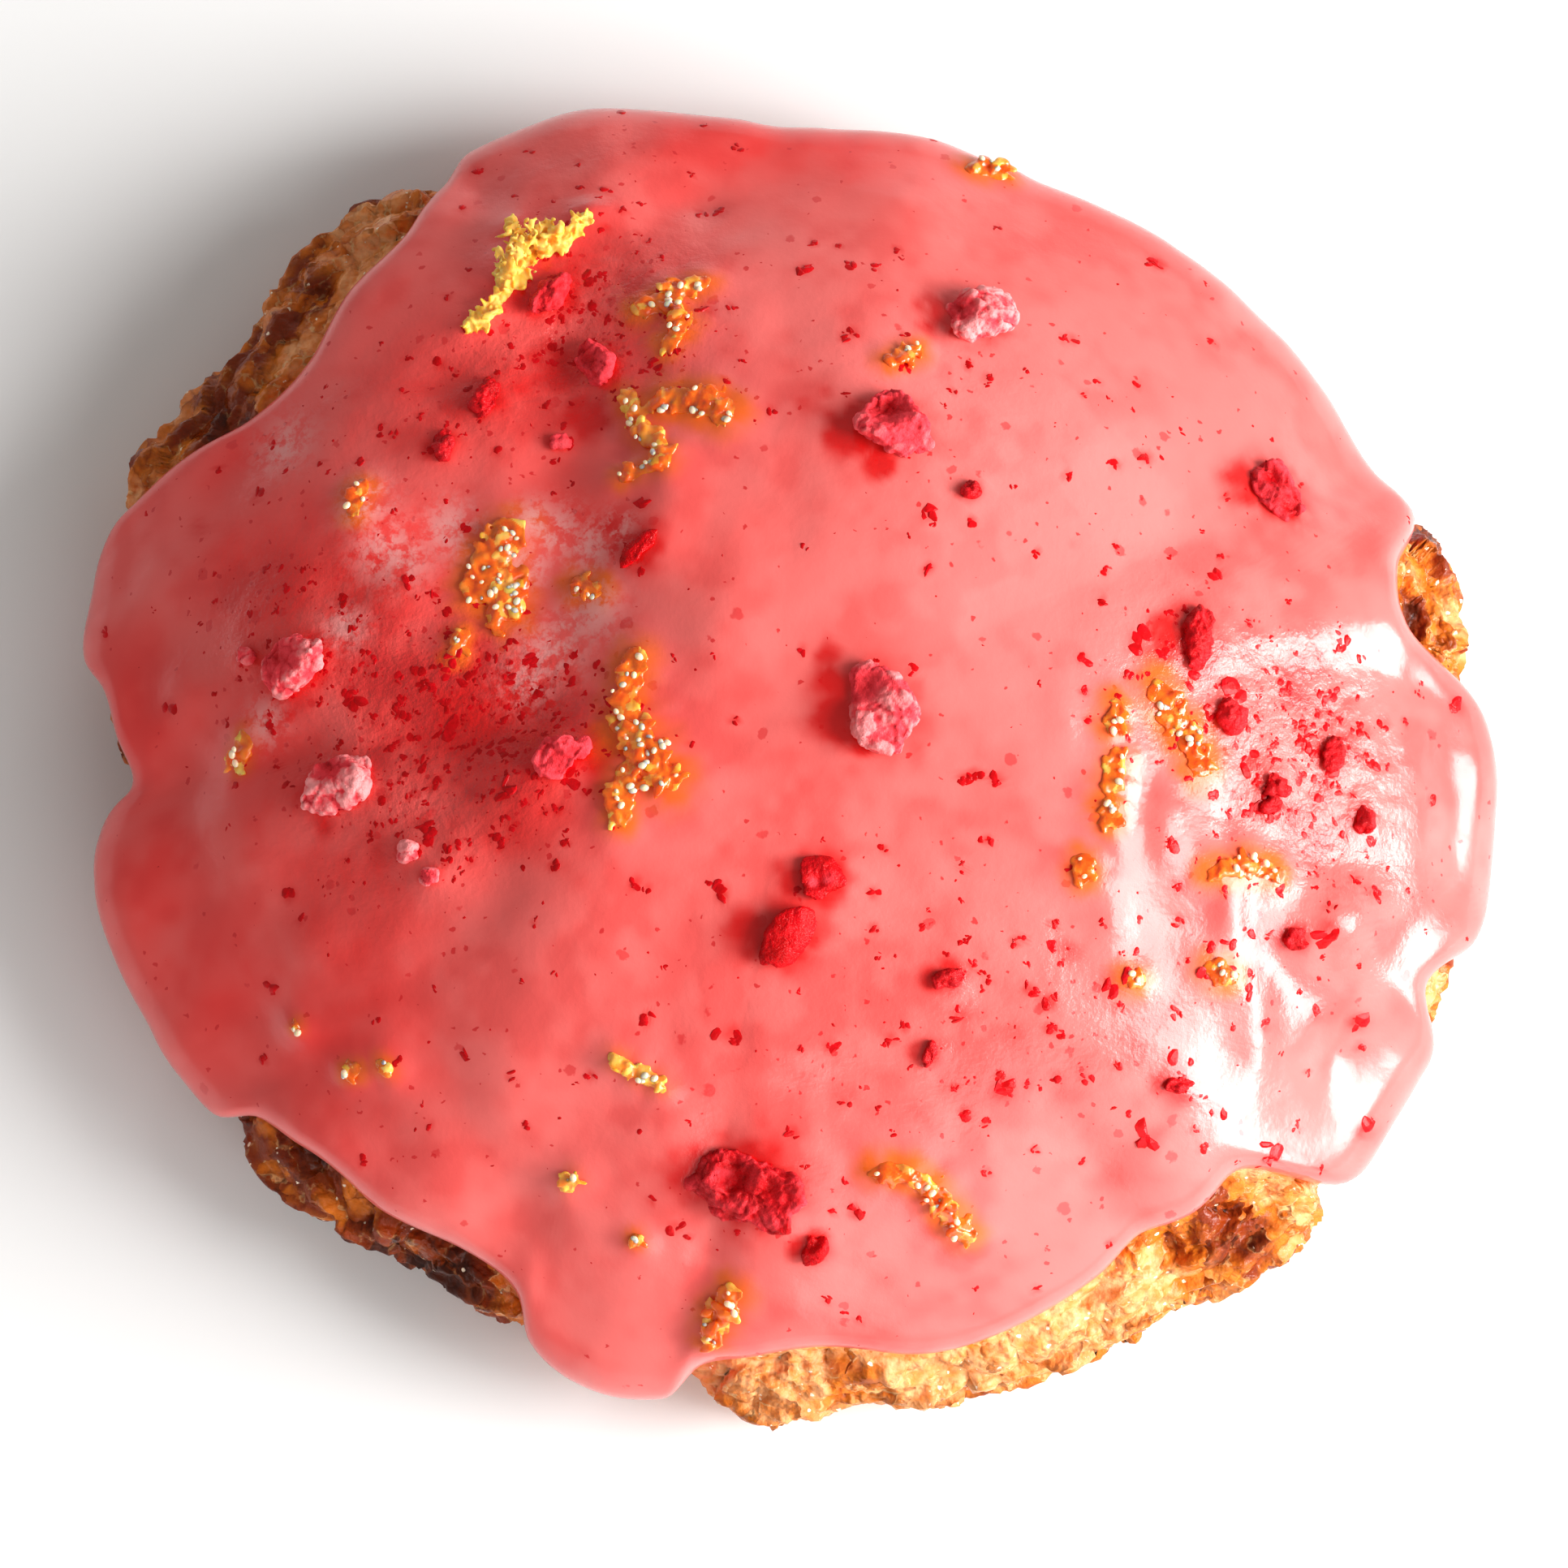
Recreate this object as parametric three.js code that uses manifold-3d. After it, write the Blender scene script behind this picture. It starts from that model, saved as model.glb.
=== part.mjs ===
// A round hand pie: a flaky baked crust under a poured berry icing, with freeze-dried raspberry
// pieces and candied orange zest stuck in the icing.
// Millimetres. +X is right, +Y is away from the viewer and +Z is up.
// The origin is the middle of the flat base.
import * as THREE from "three";
import { mergeVertices } from "three/addons/utils/BufferGeometryUtils.js";
import Module from "manifold-3d";

const wasm = await Module();
wasm.setup();

// Crust: a thick brim all round, and the mound of the filling inside it.
const WIDEST_HEIGHT = 7; // where the side stands out furthest
const BRIM_RISE = 5.2; // from there up to the top of the brim
const MOUND_RISE = 13.6; // from the brim up to the middle of the mound
const MOUND_REACH = 0.97; // share of the way out to the rim at which the mound ends
const BRIM_POWER = 10; // how square the brim's upper edge is
const MOUND_BEND = 3; // above 2, so that the mound's top is flat and its flanks are steep
const MOUND_POWER = 1.5; // above 1, so that the mound runs out softly
const FOOT_INSET = 4.5; // from the widest line in to the edge of the base

// How far the widest line stands out from the middle: angle from +X towards +Y, and radius.
const RIM = [
  [0, 48.9], [8, 48.6], [14, 49.9], [20, 49.2], [27, 46], [40, 46.2], [55, 46.2], [70, 45.7], [78, 46.8],
  [90, 46], [98, 47.2], [107, 49.5], [118, 50], [124, 52.2], [132, 52.8], [140, 51.6], [148, 51.4],
  [155, 52.2], [162, 50.8], [170, 49.6], [176, 48.8], [182, 46.8], [188, 48.3], [200, 47.4], [212, 46.2],
  [218, 46.8], [226, 46.2], [236, 44.1], [244, 43.4], [254, 44], [261, 43.4], [267, 45.4], [278, 45.8],
  [288, 46.6], [300, 47], [306, 47], [312, 49.4], [318, 49], [325, 47.8], [334, 48], [342, 50], [350, 49],
];

// Swells and hollows in the top of the mound: middle, radius and rise.
const SWELLS = [
  { x: -19, y: 9, radius: 8.5, rise: -2.8 },
  { x: -15, y: 26, radius: 7.5, rise: -2.2 },
  { x: -9, y: 39, radius: 6.5, rise: -1.2 },
  { x: -31, y: 18, radius: 8, rise: 0.9 },
  { x: -11, y: -12, radius: 10, rise: 1.2 },
  { x: 8, y: 4, radius: 13, rise: 1.0 },
  { x: 39, y: -21, radius: 7, rise: 1.1 },
  { x: 39, y: -11.5, radius: 2.2, rise: 0.9 },
];

// Relief of the bare crust: crags, and the ledges of its flaky layers.
const CRAGS = [
  { size: 5.5, depth: 1.0 },
  { size: 2.6, depth: 0.5 },
];
const LAYER_HEIGHT = 2.3;
const LAYER_WAVE = { size: 9, rise: 1.5 }; // the layers aren't level
const LEDGE_DEPTH = 0.9;
const LEDGE_TURN = 0.8; // share of a layer's height at which its edge turns back in
const FOOT_FADE = 2; // height over which the relief dies out towards the base
const BARE_FADE = 1.8; // distance past the icing over which the relief comes in

// Icing.
const ICING_THICKNESS = 1.7;
const ICING_UNEVEN = { size: 9, depth: 0.22 };
const EDGE_BEAD = { inset: 3, width: 2, rise: 0.45 }; // fuller just before its edge, where it ran and set
const LIP_WIDTH = 2.2; // the rounded run-out at the icing's edge
const SEAT_GAP = 0.3; // between the crust and the icing
const SINK = 1.1; // how deep the toppings sit in the icing at most
const DENT = 0.28; // how uneven a topping is, as a share of its size

// How far the icing runs past the crust's widest line: angle, and millimetres along the side.
// Below 0 it stops short of that line.
const ICING_EDGE = [
  [-8, 2.5], [3, 1.5], [8, -2], [13, -7.5], [18, -6.5], [22, -1], [30, 2], [48, 2.5], [63, 1.5], [78, 3],
  [92, 1.5], [106, 3], [117, 1], [121, -3.5], [126, -8.2], [133, -9.5], [141, -10.2], [147, -9], [152, -6.5],
  [156, -4], [160, -0.5], [165, 2.3], [170, 1.2], [173, -1.6], [177, -2.4], [181, -2], [187, 2], [197, 1.5],
  [206, 2.2], [211, 0.2], [214, -3.4], [219, -5.8], [223, -6.4], [228, -5.8], [238, -5.2], [243, -3.8],
  [246, -0.5], [252, 2.5], [258, 2], [262, -2.5], [267, -6], [273, -7.2], [282, -6], [288, -6.2],
  [302, -7.8], [314, -10], [318, -8.6], [323, 0], [330, 3], [336, 1.5], [341, -4.2], [346, -0.5],
];

// Where the toppings were read from: a view from above that leans back by a few degrees.
// Their places are pixels of that view, 1932 on a side.
const VIEW_SIDE = 1932;
const VIEW_PIXEL = 0.058; // what one pixel spans at the pie
const VIEW_TILT = THREE.MathUtils.degToRad(10);
const VIEW_DISTANCE = 420;
const VIEW_MIDDLE = new THREE.Vector3(-0.3, -1.4, 12);

// Freeze-dried raspberry: pixel of its middle, length, width and height, turn in degrees, and lumps in it.
const RASPBERRIES = [
  { at: [1205, 390], size: [5.5, 4.6, 2.9], turn: 10, lumps: 2 },
  { at: [1098, 527], size: [5.9, 4.8, 3.2], turn: -35, lumps: 2 },
  { at: [1574, 607], size: [5.8, 3.6, 2.2], turn: -50, lumps: 2 },
  { at: [1472, 788], size: [4.8, 2.6, 1.8], turn: 80, lumps: 1 },
  { at: [1085, 873], size: [6.4, 4.9, 3.4], turn: -60, lumps: 2 },
  { at: [1010, 1083], size: [3.9, 3.6, 1.5], turn: 0, lumps: 1 },
  { at: [965, 1150], size: [5.0, 3.2, 2.1], turn: 55, lumps: 1 },
  { at: [926, 1460], size: [7.5, 5.1, 2.6], turn: -12, lumps: 3 },
  { at: [366, 820], size: [5.0, 4.0, 3.0], turn: 35, lumps: 2 },
  { at: [415, 966], size: [5.4, 4.4, 2.8], turn: 0, lumps: 2 },
  { at: [692, 930], size: [3.8, 2.8, 2.4], turn: 45, lumps: 1 },
  { at: [735, 448], size: [4.2, 2.9, 2.5], turn: -65, lumps: 2 },
  { at: [677, 362], size: [4.5, 2.2, 2.0], turn: 62, lumps: 1 },
  { at: [305, 808], size: [1.9, 1.3, 1.2], turn: -30, lumps: 1 },
  { at: [597, 490], size: [3.2, 1.9, 1.2], turn: 70, lumps: 1 },
  { at: [545, 548], size: [2.3, 1.6, 1.0], turn: 80, lumps: 1 },
  { at: [790, 672], size: [3.6, 1.4, 1.0], turn: 40, lumps: 1 },
  { at: [1598, 1155], size: [2.0, 1.8, 1.2], turn: 0, lumps: 1 },
  { at: [1515, 880], size: [2.8, 2.2, 1.4], turn: 90, lumps: 1 },
  { at: [1642, 930], size: [2.8, 2.0, 1.4], turn: 70, lumps: 1 },
  { at: [1570, 965], size: [2.2, 1.8, 1.2], turn: 0, lumps: 1 },
  { at: [1682, 1010], size: [2.2, 1.8, 1.2], turn: 70, lumps: 1 },
  { at: [1452, 1337], size: [2.6, 1.3, 1.0], turn: -10, lumps: 1 },
  { at: [1168, 1204], size: [2.4, 1.7, 1.1], turn: 30, lumps: 1 },
  { at: [1004, 1540], size: [2.4, 1.6, 1.0], turn: 80, lumps: 1 },
];

// Orange zest: the pixels that each shred runs through, and its width and height.
const ZESTS = [
  { path: [[585, 402], [612, 378], [630, 330], [655, 298], [700, 292], [722, 272]], width: 2.0, height: 2.0 },
  { path: [[790, 380], [822, 366], [866, 350]], width: 1.7, height: 1.1 },
  { path: [[822, 372], [836, 400]], width: 1.6, height: 0.9 },
  { path: [[776, 490], [792, 528], [822, 566]], width: 1.6, height: 1.2 },
  { path: [[815, 488], [868, 492], [902, 512]], width: 2.0, height: 1.1 },
  { path: [[612, 660], [590, 700], [622, 722], [618, 775]], width: 3.0, height: 1.6 },
  { path: [[572, 780], [560, 802]], width: 1.2, height: 0.9 },
  { path: [[782, 818], [772, 862], [760, 905], [795, 938], [832, 972]], width: 2.7, height: 1.8 },
  { path: [[772, 940], [760, 1012]], width: 1.6, height: 1.1 },
  { path: [[300, 915], [290, 945]], width: 2.0, height: 1.4 },
  { path: [[445, 600], [435, 628]], width: 1.7, height: 0.9 },
  { path: [[1098, 444], [1132, 430]], width: 1.6, height: 1.3 },
  { path: [[1200, 205], [1242, 214]], width: 2.1, height: 1.4 },
  { path: [[758, 1304], [784, 1322], [816, 1338]], width: 1.5, height: 1.0 },
  { path: [[698, 1460], [712, 1450]], width: 1.7, height: 1.4 },
  { path: [[903, 1594], [885, 1622], [873, 1655]], width: 2.3, height: 1.2 },
  { path: [[1080, 1442], [1120, 1448], [1150, 1470], [1172, 1500], [1194, 1526]], width: 2.0, height: 1.3 },
  { path: [[1376, 872], [1374, 940], [1366, 1008]], width: 1.8, height: 1.2 },
  { path: [[1440, 858], [1466, 900], [1484, 948]], width: 2.2, height: 1.2 },
  { path: [[1336, 1060], [1334, 1084]], width: 1.6, height: 1.2 },
  { path: [[1498, 1074], [1540, 1064], [1572, 1078]], width: 1.8, height: 1.1 },
  { path: [[1394, 1206], [1404, 1208]], width: 1.7, height: 1.1 },
  { path: [[1494, 1196], [1516, 1202]], width: 2.0, height: 1.1 },
];

// Mesh fineness.
const COLUMNS = 92;
const PROFILE_STEPS = 160;

const TURN = 2 * Math.PI;
const UP = new THREE.Vector3(0, 0, 1);

// Noise between -1 and 1 at a whole-numbered point.
function latticeNoise(i, j, k) {
  const value = Math.sin(i * 127.1 + j * 311.7 + k * 74.7) * 43758.5453;
  return 2 * (value - Math.floor(value)) - 1;
}

// Smooth noise between -1 and 1 whose lumps are about one unit across.
function smoothNoise(x, y, z) {
  const [i, j, k] = [x, y, z].map(Math.floor);
  const [u, v, w] = [x - i, y - j, z - k].map((t) => t * t * (3 - 2 * t));
  const mix = THREE.MathUtils.lerp;
  const row = (b, c) => mix(latticeNoise(i, j + b, k + c), latticeNoise(i + 1, j + b, k + c), u);
  return mix(mix(row(0, 0), row(1, 0), v), mix(row(0, 1), row(1, 1), v), w);
}

// A smooth closed curve through [angle in degrees, value] knots, read at an angle in radians.
function closedCurve(knots) {
  const degrees = knots.map((knot) => knot[0]);
  const values = knots.map((knot) => knot[1]);
  const count = knots.length;
  const gap = (k) => THREE.MathUtils.euclideanModulo(degrees[(k + 1) % count] - degrees[k], 360);
  const slope = (k) => {
    const before = (k + count - 1) % count;
    return (values[(k + 1) % count] - values[before]) / (gap(before) + gap(k));
  };
  return (angle) => {
    const offset = THREE.MathUtils.euclideanModulo(THREE.MathUtils.radToDeg(angle) - degrees[0], 360);
    let k = count - 1;
    while (THREE.MathUtils.euclideanModulo(degrees[k] - degrees[0], 360) > offset) k -= 1;
    const next = (k + 1) % count;
    const width = gap(k);
    const t = (offset - THREE.MathUtils.euclideanModulo(degrees[k] - degrees[0], 360)) / width;
    const bow = t * (1 - t) * width;
    return (
      values[k] * (1 + 2 * t) * (1 - t) ** 2 +
      values[next] * (3 - 2 * t) * t ** 2 +
      bow * (slope(k) * (1 - t) - slope(next) * t)
    );
  };
}

const rimRadius = closedCurve(RIM);
const icingReach = closedCurve(ICING_EDGE);

// Height of the smooth crust at a share of the way from the middle out to the rim.
function domeHeight(share) {
  const brim = BRIM_RISE * Math.sqrt(Math.max(0, 1 - share ** BRIM_POWER));
  const mound = MOUND_RISE * Math.max(0, 1 - (share / MOUND_REACH) ** MOUND_BEND) ** MOUND_POWER;
  return WIDEST_HEIGHT + brim + mound;
}

function swellHeight(x, y) {
  return SWELLS.reduce((sum, swell) => {
    const away = Math.hypot(x - swell.x, y - swell.y) / swell.radius;
    return sum + swell.rise * Math.exp(-away * away);
  }, 0);
}

// The crust's outline in the upright plane at an angle, from the middle of the top to the edge of the base,
// as points [radius, height, distance along it], and the distance of its widest line.
function profileAt(angle) {
  const rim = rimRadius(angle);
  const points = [];
  for (let step = 0; step <= PROFILE_STEPS; step += 1) {
    const share = 1 - (1 - step / PROFILE_STEPS) ** 3;
    points.push([share * rim, domeHeight(share), 0]);
  }
  const widest = points.length - 1;
  for (let step = 1; step <= PROFILE_STEPS / 4; step += 1) {
    const turn = (step / (PROFILE_STEPS / 4)) * (Math.PI / 2);
    points.push([rim - FOOT_INSET * (1 - Math.cos(turn)), WIDEST_HEIGHT * (1 - Math.sin(turn)), 0]);
  }
  for (let n = 1; n < points.length; n += 1) {
    const [radius, height] = points[n];
    points[n][2] = points[n - 1][2] + Math.hypot(radius - points[n - 1][0], height - points[n - 1][1]);
  }
  return { rim, points, widest: points[widest][2], end: points.at(-1)[2] };
}

// A point of the smooth crust, a distance along the profile at an angle.
function crustPoint(profile, angle, distance) {
  const { points, rim, end } = profile;
  const reached = THREE.MathUtils.clamp(distance, 0, end);
  let n = 1;
  while (n < points.length - 1 && points[n][2] < reached) n += 1;
  const [[r0, z0, d0], [r1, z1, d1]] = [points[n - 1], points[n]];
  const t = (reached - d0) / (d1 - d0);
  const radius = THREE.MathUtils.lerp(r0, r1, t);
  const [x, y] = [radius * Math.cos(angle), radius * Math.sin(angle)];
  const upper = reached < profile.widest ? 1 - (radius / rim) ** 6 : 0;
  return new THREE.Vector3(x, y, THREE.MathUtils.lerp(z0, z1, t) + upper * swellHeight(x, y));
}

// The outward direction of the smooth crust there.
function crustNormal(profile, angle, distance) {
  const turn = 0.01;
  const step = 0.3;
  if (distance < step) return UP.clone();
  const along = crustPoint(profile, angle, distance + step).sub(crustPoint(profile, angle, distance - step));
  const ahead = crustPoint(profileAt(angle + turn), angle + turn, distance);
  const behind = crustPoint(profileAt(angle - turn), angle - turn, distance);
  return along.cross(ahead.sub(behind)).normalize();
}

// How far the crags and the flaky layers stand out of the smooth crust.
function crustRelief(point, bare) {
  const crags = CRAGS.reduce(
    (sum, { size, depth }) => sum + depth * smoothNoise(point.x / size, point.y / size, point.z / size),
    0,
  );
  const wave = LAYER_WAVE.rise * smoothNoise(point.x / LAYER_WAVE.size, point.y / LAYER_WAVE.size, 3);
  const layer = (point.z + wave) / LAYER_HEIGHT;
  const part = layer - Math.floor(layer);
  const ledge = part < LEDGE_TURN ? part / LEDGE_TURN : (1 - part) / (1 - LEDGE_TURN);
  const fade = THREE.MathUtils.smoothstep(point.z, 0, FOOT_FADE);
  return bare * fade * (crags + LEDGE_DEPTH * (ledge - 0.5));
}

// A solid from columns of points, each column the same length, closed by one point at either end.
function solidFromColumns(first, columns, last) {
  const count = columns.length;
  const rings = columns[0].length;
  const points = [first, ...columns.flat(), last];
  const faces = [];
  const at = (ring, column) => 1 + (column % count) * rings + ring;
  for (let column = 0; column < count; column += 1) {
    faces.push(0, at(0, column), at(0, column + 1));
    for (let ring = 1; ring < rings; ring += 1) {
      const [a, b] = [at(ring - 1, column), at(ring - 1, column + 1)];
      const [c, d] = [at(ring, column), at(ring, column + 1)];
      faces.push(...((ring + column) % 2 ? [a, c, d, a, d, b] : [a, c, b, b, c, d]));
    }
    faces.push(at(rings - 1, column + 1), at(rings - 1, column), points.length - 1);
  }
  return manifoldOf(points.flatMap((point) => point.toArray()), faces);
}

function manifoldOf(coordinates, faces) {
  const vertProperties = new Float32Array(coordinates);
  return new wasm.Manifold(new wasm.Mesh({ numProp: 3, vertProperties, triVerts: new Uint32Array(faces) }));
}

// The upright planes that both bodies are built in: angle, crust profile and distance of the icing's edge.
function columnPlanes() {
  return Array.from({ length: COLUMNS }, (_, column) => {
    const angle = (column / COLUMNS) * TURN;
    const profile = profileAt(angle);
    return { angle, profile, edge: profile.widest + icingReach(angle) };
  });
}

// Distances of the rings in which the crust and the underside of the icing lie over each other.
function seatDistances({ edge }) {
  const shares = [0.4, 0.75];
  const offsets = [10, 6.8, 4.4, 2.6, 1.2];
  return [...shares.map((share) => share * (edge - 10)), ...offsets.map((offset) => edge - offset)];
}

function crustSolid() {
  const planes = columnPlanes();
  const bare = [0.09, 0.19, 0.29, 0.39, 0.49, 0.59, 0.69, 0.79, 0.9, 1];
  const columns = planes.map((plane) => {
    const { angle, profile, edge } = plane;
    const distances = [
      ...seatDistances(plane),
      edge,
      ...bare.map((share) => THREE.MathUtils.lerp(edge, profile.end, share)),
    ];
    return distances.map((distance) => {
      const point = crustPoint(profile, angle, distance);
      const relief = crustRelief(point, THREE.MathUtils.smoothstep(distance - edge, 0, BARE_FADE));
      point.addScaledVector(crustNormal(profile, angle, distance), relief);
      return point.setZ(Math.max(point.z, 0));
    });
  });
  return solidFromColumns(crustPoint(planes[0].profile, 0, 0), columns, new THREE.Vector3());
}

function icingThickness(point, toEdge) {
  const { size, depth } = ICING_UNEVEN;
  const uneven = depth * smoothNoise(point.x / size, point.y / size, point.z / size);
  const bead = EDGE_BEAD.rise * Math.exp(-(((toEdge - EDGE_BEAD.inset) / EDGE_BEAD.width) ** 2));
  return ICING_THICKNESS + uneven + bead;
}

// A point of the icing's upper side, a distance along the crust's profile.
function icingPoint(profile, angle, distance) {
  const point = crustPoint(profile, angle, distance);
  const toEdge = profile.widest + icingReach(angle) - distance;
  const shortOfFull = THREE.MathUtils.clamp(1 - toEdge / LIP_WIDTH, 0, 1);
  const thickness = icingThickness(point, toEdge) * Math.sqrt(1 - shortOfFull ** 2);
  return point.addScaledVector(crustNormal(profile, angle, distance), SEAT_GAP + thickness);
}

// The poured icing: its upper side out to the edge, and its underside back to the middle.
function pouredIcing() {
  const planes = columnPlanes();
  const shares = [0.15, 0.32, 0.5, 0.67, 0.84];
  const offsets = [10, 6.8, 4.4, 2.6, 1.3, 0.45, 0];
  const columns = planes.map((plane) => {
    const { angle, profile, edge } = plane;
    const upper = [...shares.map((share) => share * (edge - 10)), ...offsets.map((offset) => edge - offset)];
    const under = seatDistances(plane).reverse();
    return [
      ...upper.map((distance) => icingPoint(profile, angle, distance)),
      ...under.map((distance) => {
        const normal = crustNormal(profile, angle, distance);
        return crustPoint(profile, angle, distance).addScaledVector(normal, SEAT_GAP);
      }),
    ];
  });
  const top = icingPoint(planes[0].profile, 0, 0);
  const middle = crustPoint(planes[0].profile, 0, 0);
  return solidFromColumns(top, columns, middle.setZ(middle.z + SEAT_GAP));
}

// Height of the icing's upper side over a point of the plan.
function icingHeight(x, y) {
  const angle = Math.atan2(y, x);
  const share = Math.min(0.985, Math.hypot(x, y) / rimRadius(angle));
  const height = domeHeight(share) + (1 - share ** 6) * swellHeight(x, y);
  return height + SEAT_GAP + ICING_THICKNESS;
}

// The point of the icing that shows at a pixel of the view.
function seenAt([column, row]) {
  const right = (column - VIEW_SIDE / 2) * VIEW_PIXEL;
  const up = (VIEW_SIDE / 2 - row) * VIEW_PIXEL;
  const [lean, rise] = [Math.sin(VIEW_TILT), Math.cos(VIEW_TILT)];
  const eye = VIEW_MIDDLE.clone().add(new THREE.Vector3(0, -lean, rise).multiplyScalar(VIEW_DISTANCE));
  const way = VIEW_MIDDLE.clone().add(new THREE.Vector3(right, up * rise, up * lean)).sub(eye);
  const found = new THREE.Vector3(0, 0, WIDEST_HEIGHT);
  for (let round = 0; round < 12; round += 1) {
    const height = icingHeight(found.x, found.y);
    found.copy(eye).addScaledVector(way, (height - eye.z) / way.z);
  }
  return found;
}

// The icing's outward direction over a point of the plan.
function icingNormal(x, y) {
  const step = 1;
  const slope = (dx, dy) => icingHeight(x + dx, y + dy) - icingHeight(x - dx, y - dy);
  return new THREE.Vector3(-slope(step, 0), -slope(0, step), 2 * step).normalize();
}

// A small rough lump: a sphere of few faces, dented by noise, stretched, turned and put in place.
function lumpSolid(detail, size, turn, place, normal) {
  const geometry = new THREE.IcosahedronGeometry(0.5, detail);
  geometry.deleteAttribute("normal");
  geometry.deleteAttribute("uv");
  const merged = mergeVertices(geometry, 1e-4);
  const lie = new THREE.Quaternion().setFromUnitVectors(UP, normal);
  const spin = new THREE.Quaternion().setFromAxisAngle(UP, turn);
  const position = merged.getAttribute("position");
  const point = new THREE.Vector3();
  const stretch = new THREE.Vector3(...size);
  for (let n = 0; n < position.count; n += 1) {
    point.fromBufferAttribute(position, n);
    const dent = smoothNoise(4 * point.x + place.x, 4 * point.y + place.y, 4 * point.z + place.z);
    point.multiplyScalar(1 + DENT * dent).multiply(stretch);
    point.applyQuaternion(spin).applyQuaternion(lie).add(place);
    position.setXYZ(n, point.x, point.y, point.z);
  }
  return manifoldOf(position.array, merged.index.array);
}

// How far the middle of a lump lies over the icing's upper side: low, but never through the icing.
function liftOf(height) {
  return Math.max(0.2 * height, 0.5 * (1 + DENT) * height - SINK);
}

// A raspberry piece: lumps in a row along its length, sunk a little into the icing.
function raspberrySolids({ at, size, turn, lumps }) {
  const middle = seenAt(at);
  const normal = icingNormal(middle.x, middle.y);
  const [length, width, height] = size;
  const angle = THREE.MathUtils.degToRad(turn);
  const lumpLength = lumps === 1 ? length : (1.5 * length) / lumps;
  return Array.from({ length: lumps }, (_, n) => {
    const along = lumps === 1 ? 0 : (n / (lumps - 1) - 0.5) * (length - lumpLength);
    const across = lumps > 2 ? ((n % 2) - 0.5) * 0.25 * width : 0;
    const place = middle
      .clone()
      .add(new THREE.Vector3(Math.cos(angle), Math.sin(angle), 0).multiplyScalar(along))
      .add(new THREE.Vector3(-Math.sin(angle), Math.cos(angle), 0).multiplyScalar(across));
    place.z = icingHeight(place.x, place.y) + liftOf(height);
    return lumpSolid(length > 3 ? 1 : 0, [lumpLength, width, height], angle, place, normal);
  });
}

// A shred of zest: small lumps strung along the pixels that it runs through.
function zestSolids({ path, width, height }) {
  const curve = new THREE.CatmullRomCurve3(path.map(seenAt));
  const count = Math.max(2, Math.round(curve.getLength() / (0.95 * width)));
  return Array.from({ length: count }, (_, n) => {
    const share = n / (count - 1);
    const place = curve.getPointAt(share);
    const ahead = curve.getTangentAt(share);
    place.z = icingHeight(place.x, place.y) + 0.5 * liftOf(height);
    const swell = 1 + 0.25 * smoothNoise(place.x, place.y, 7);
    const size = [1.5 * width * swell, width * swell, height * swell];
    return lumpSolid(0, size, Math.atan2(ahead.y, ahead.x), place, icingNormal(place.x, place.y));
  });
}

function toppedIcing() {
  const toppings = [...RASPBERRIES.flatMap(raspberrySolids), ...ZESTS.flatMap(zestSolids)];
  return wasm.Manifold.union([pouredIcing(), ...toppings]);
}

function meshOf(name, solid, look) {
  const { numProp, vertProperties, triVerts } = solid.getMesh();
  const positions = new Float32Array((vertProperties.length / numProp) * 3);
  for (let n = 0; n * numProp < vertProperties.length; n += 1) {
    positions.set(vertProperties.subarray(n * numProp, n * numProp + 3), 3 * n);
  }
  const geometry = new THREE.BufferGeometry();
  geometry.setAttribute("position", new THREE.BufferAttribute(positions, 3));
  geometry.setIndex(new THREE.BufferAttribute(new Uint32Array(triVerts), 1));
  geometry.computeVertexNormals();
  const mesh = new THREE.Mesh(geometry, new THREE.MeshStandardMaterial({ metalness: 0, ...look }));
  mesh.name = name;
  return mesh;
}

const handPie = new THREE.Group();
handPie.add(
  meshOf("crust", crustSolid(), { color: 0xb8702e, roughness: 0.45 }),
  meshOf("icing", toppedIcing(), { color: 0xf3605c, roughness: 0.2 }),
);

export default handPie;
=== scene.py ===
"""A round hand pie: flaky baked crust, poured berry icing, freeze-dried raspberry and candied orange zest.

Lengths are millimetres until a mesh, a light or a texture is made, and metres from there on.
Places on the icing are pixels of the photograph, 1932 on a side, which its camera carries onto the icing.
"""

import math

import bmesh
import bpy
import numpy as np
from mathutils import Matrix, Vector
from mathutils.bvhtree import BVHTree
from mathutils.kdtree import KDTree


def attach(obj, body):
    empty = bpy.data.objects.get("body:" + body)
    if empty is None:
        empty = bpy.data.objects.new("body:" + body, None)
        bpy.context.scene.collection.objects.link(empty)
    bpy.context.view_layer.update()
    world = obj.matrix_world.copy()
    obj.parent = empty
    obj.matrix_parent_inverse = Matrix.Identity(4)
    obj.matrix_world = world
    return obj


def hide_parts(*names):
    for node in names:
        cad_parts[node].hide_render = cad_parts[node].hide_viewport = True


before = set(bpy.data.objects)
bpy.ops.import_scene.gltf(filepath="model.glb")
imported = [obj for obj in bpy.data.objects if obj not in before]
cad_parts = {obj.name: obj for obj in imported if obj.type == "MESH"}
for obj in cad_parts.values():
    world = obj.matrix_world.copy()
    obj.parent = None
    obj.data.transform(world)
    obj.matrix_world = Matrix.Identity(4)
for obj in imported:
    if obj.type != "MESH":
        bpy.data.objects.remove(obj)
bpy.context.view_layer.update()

MM = 0.001
RANDOM = np.random.default_rng(7)

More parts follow.
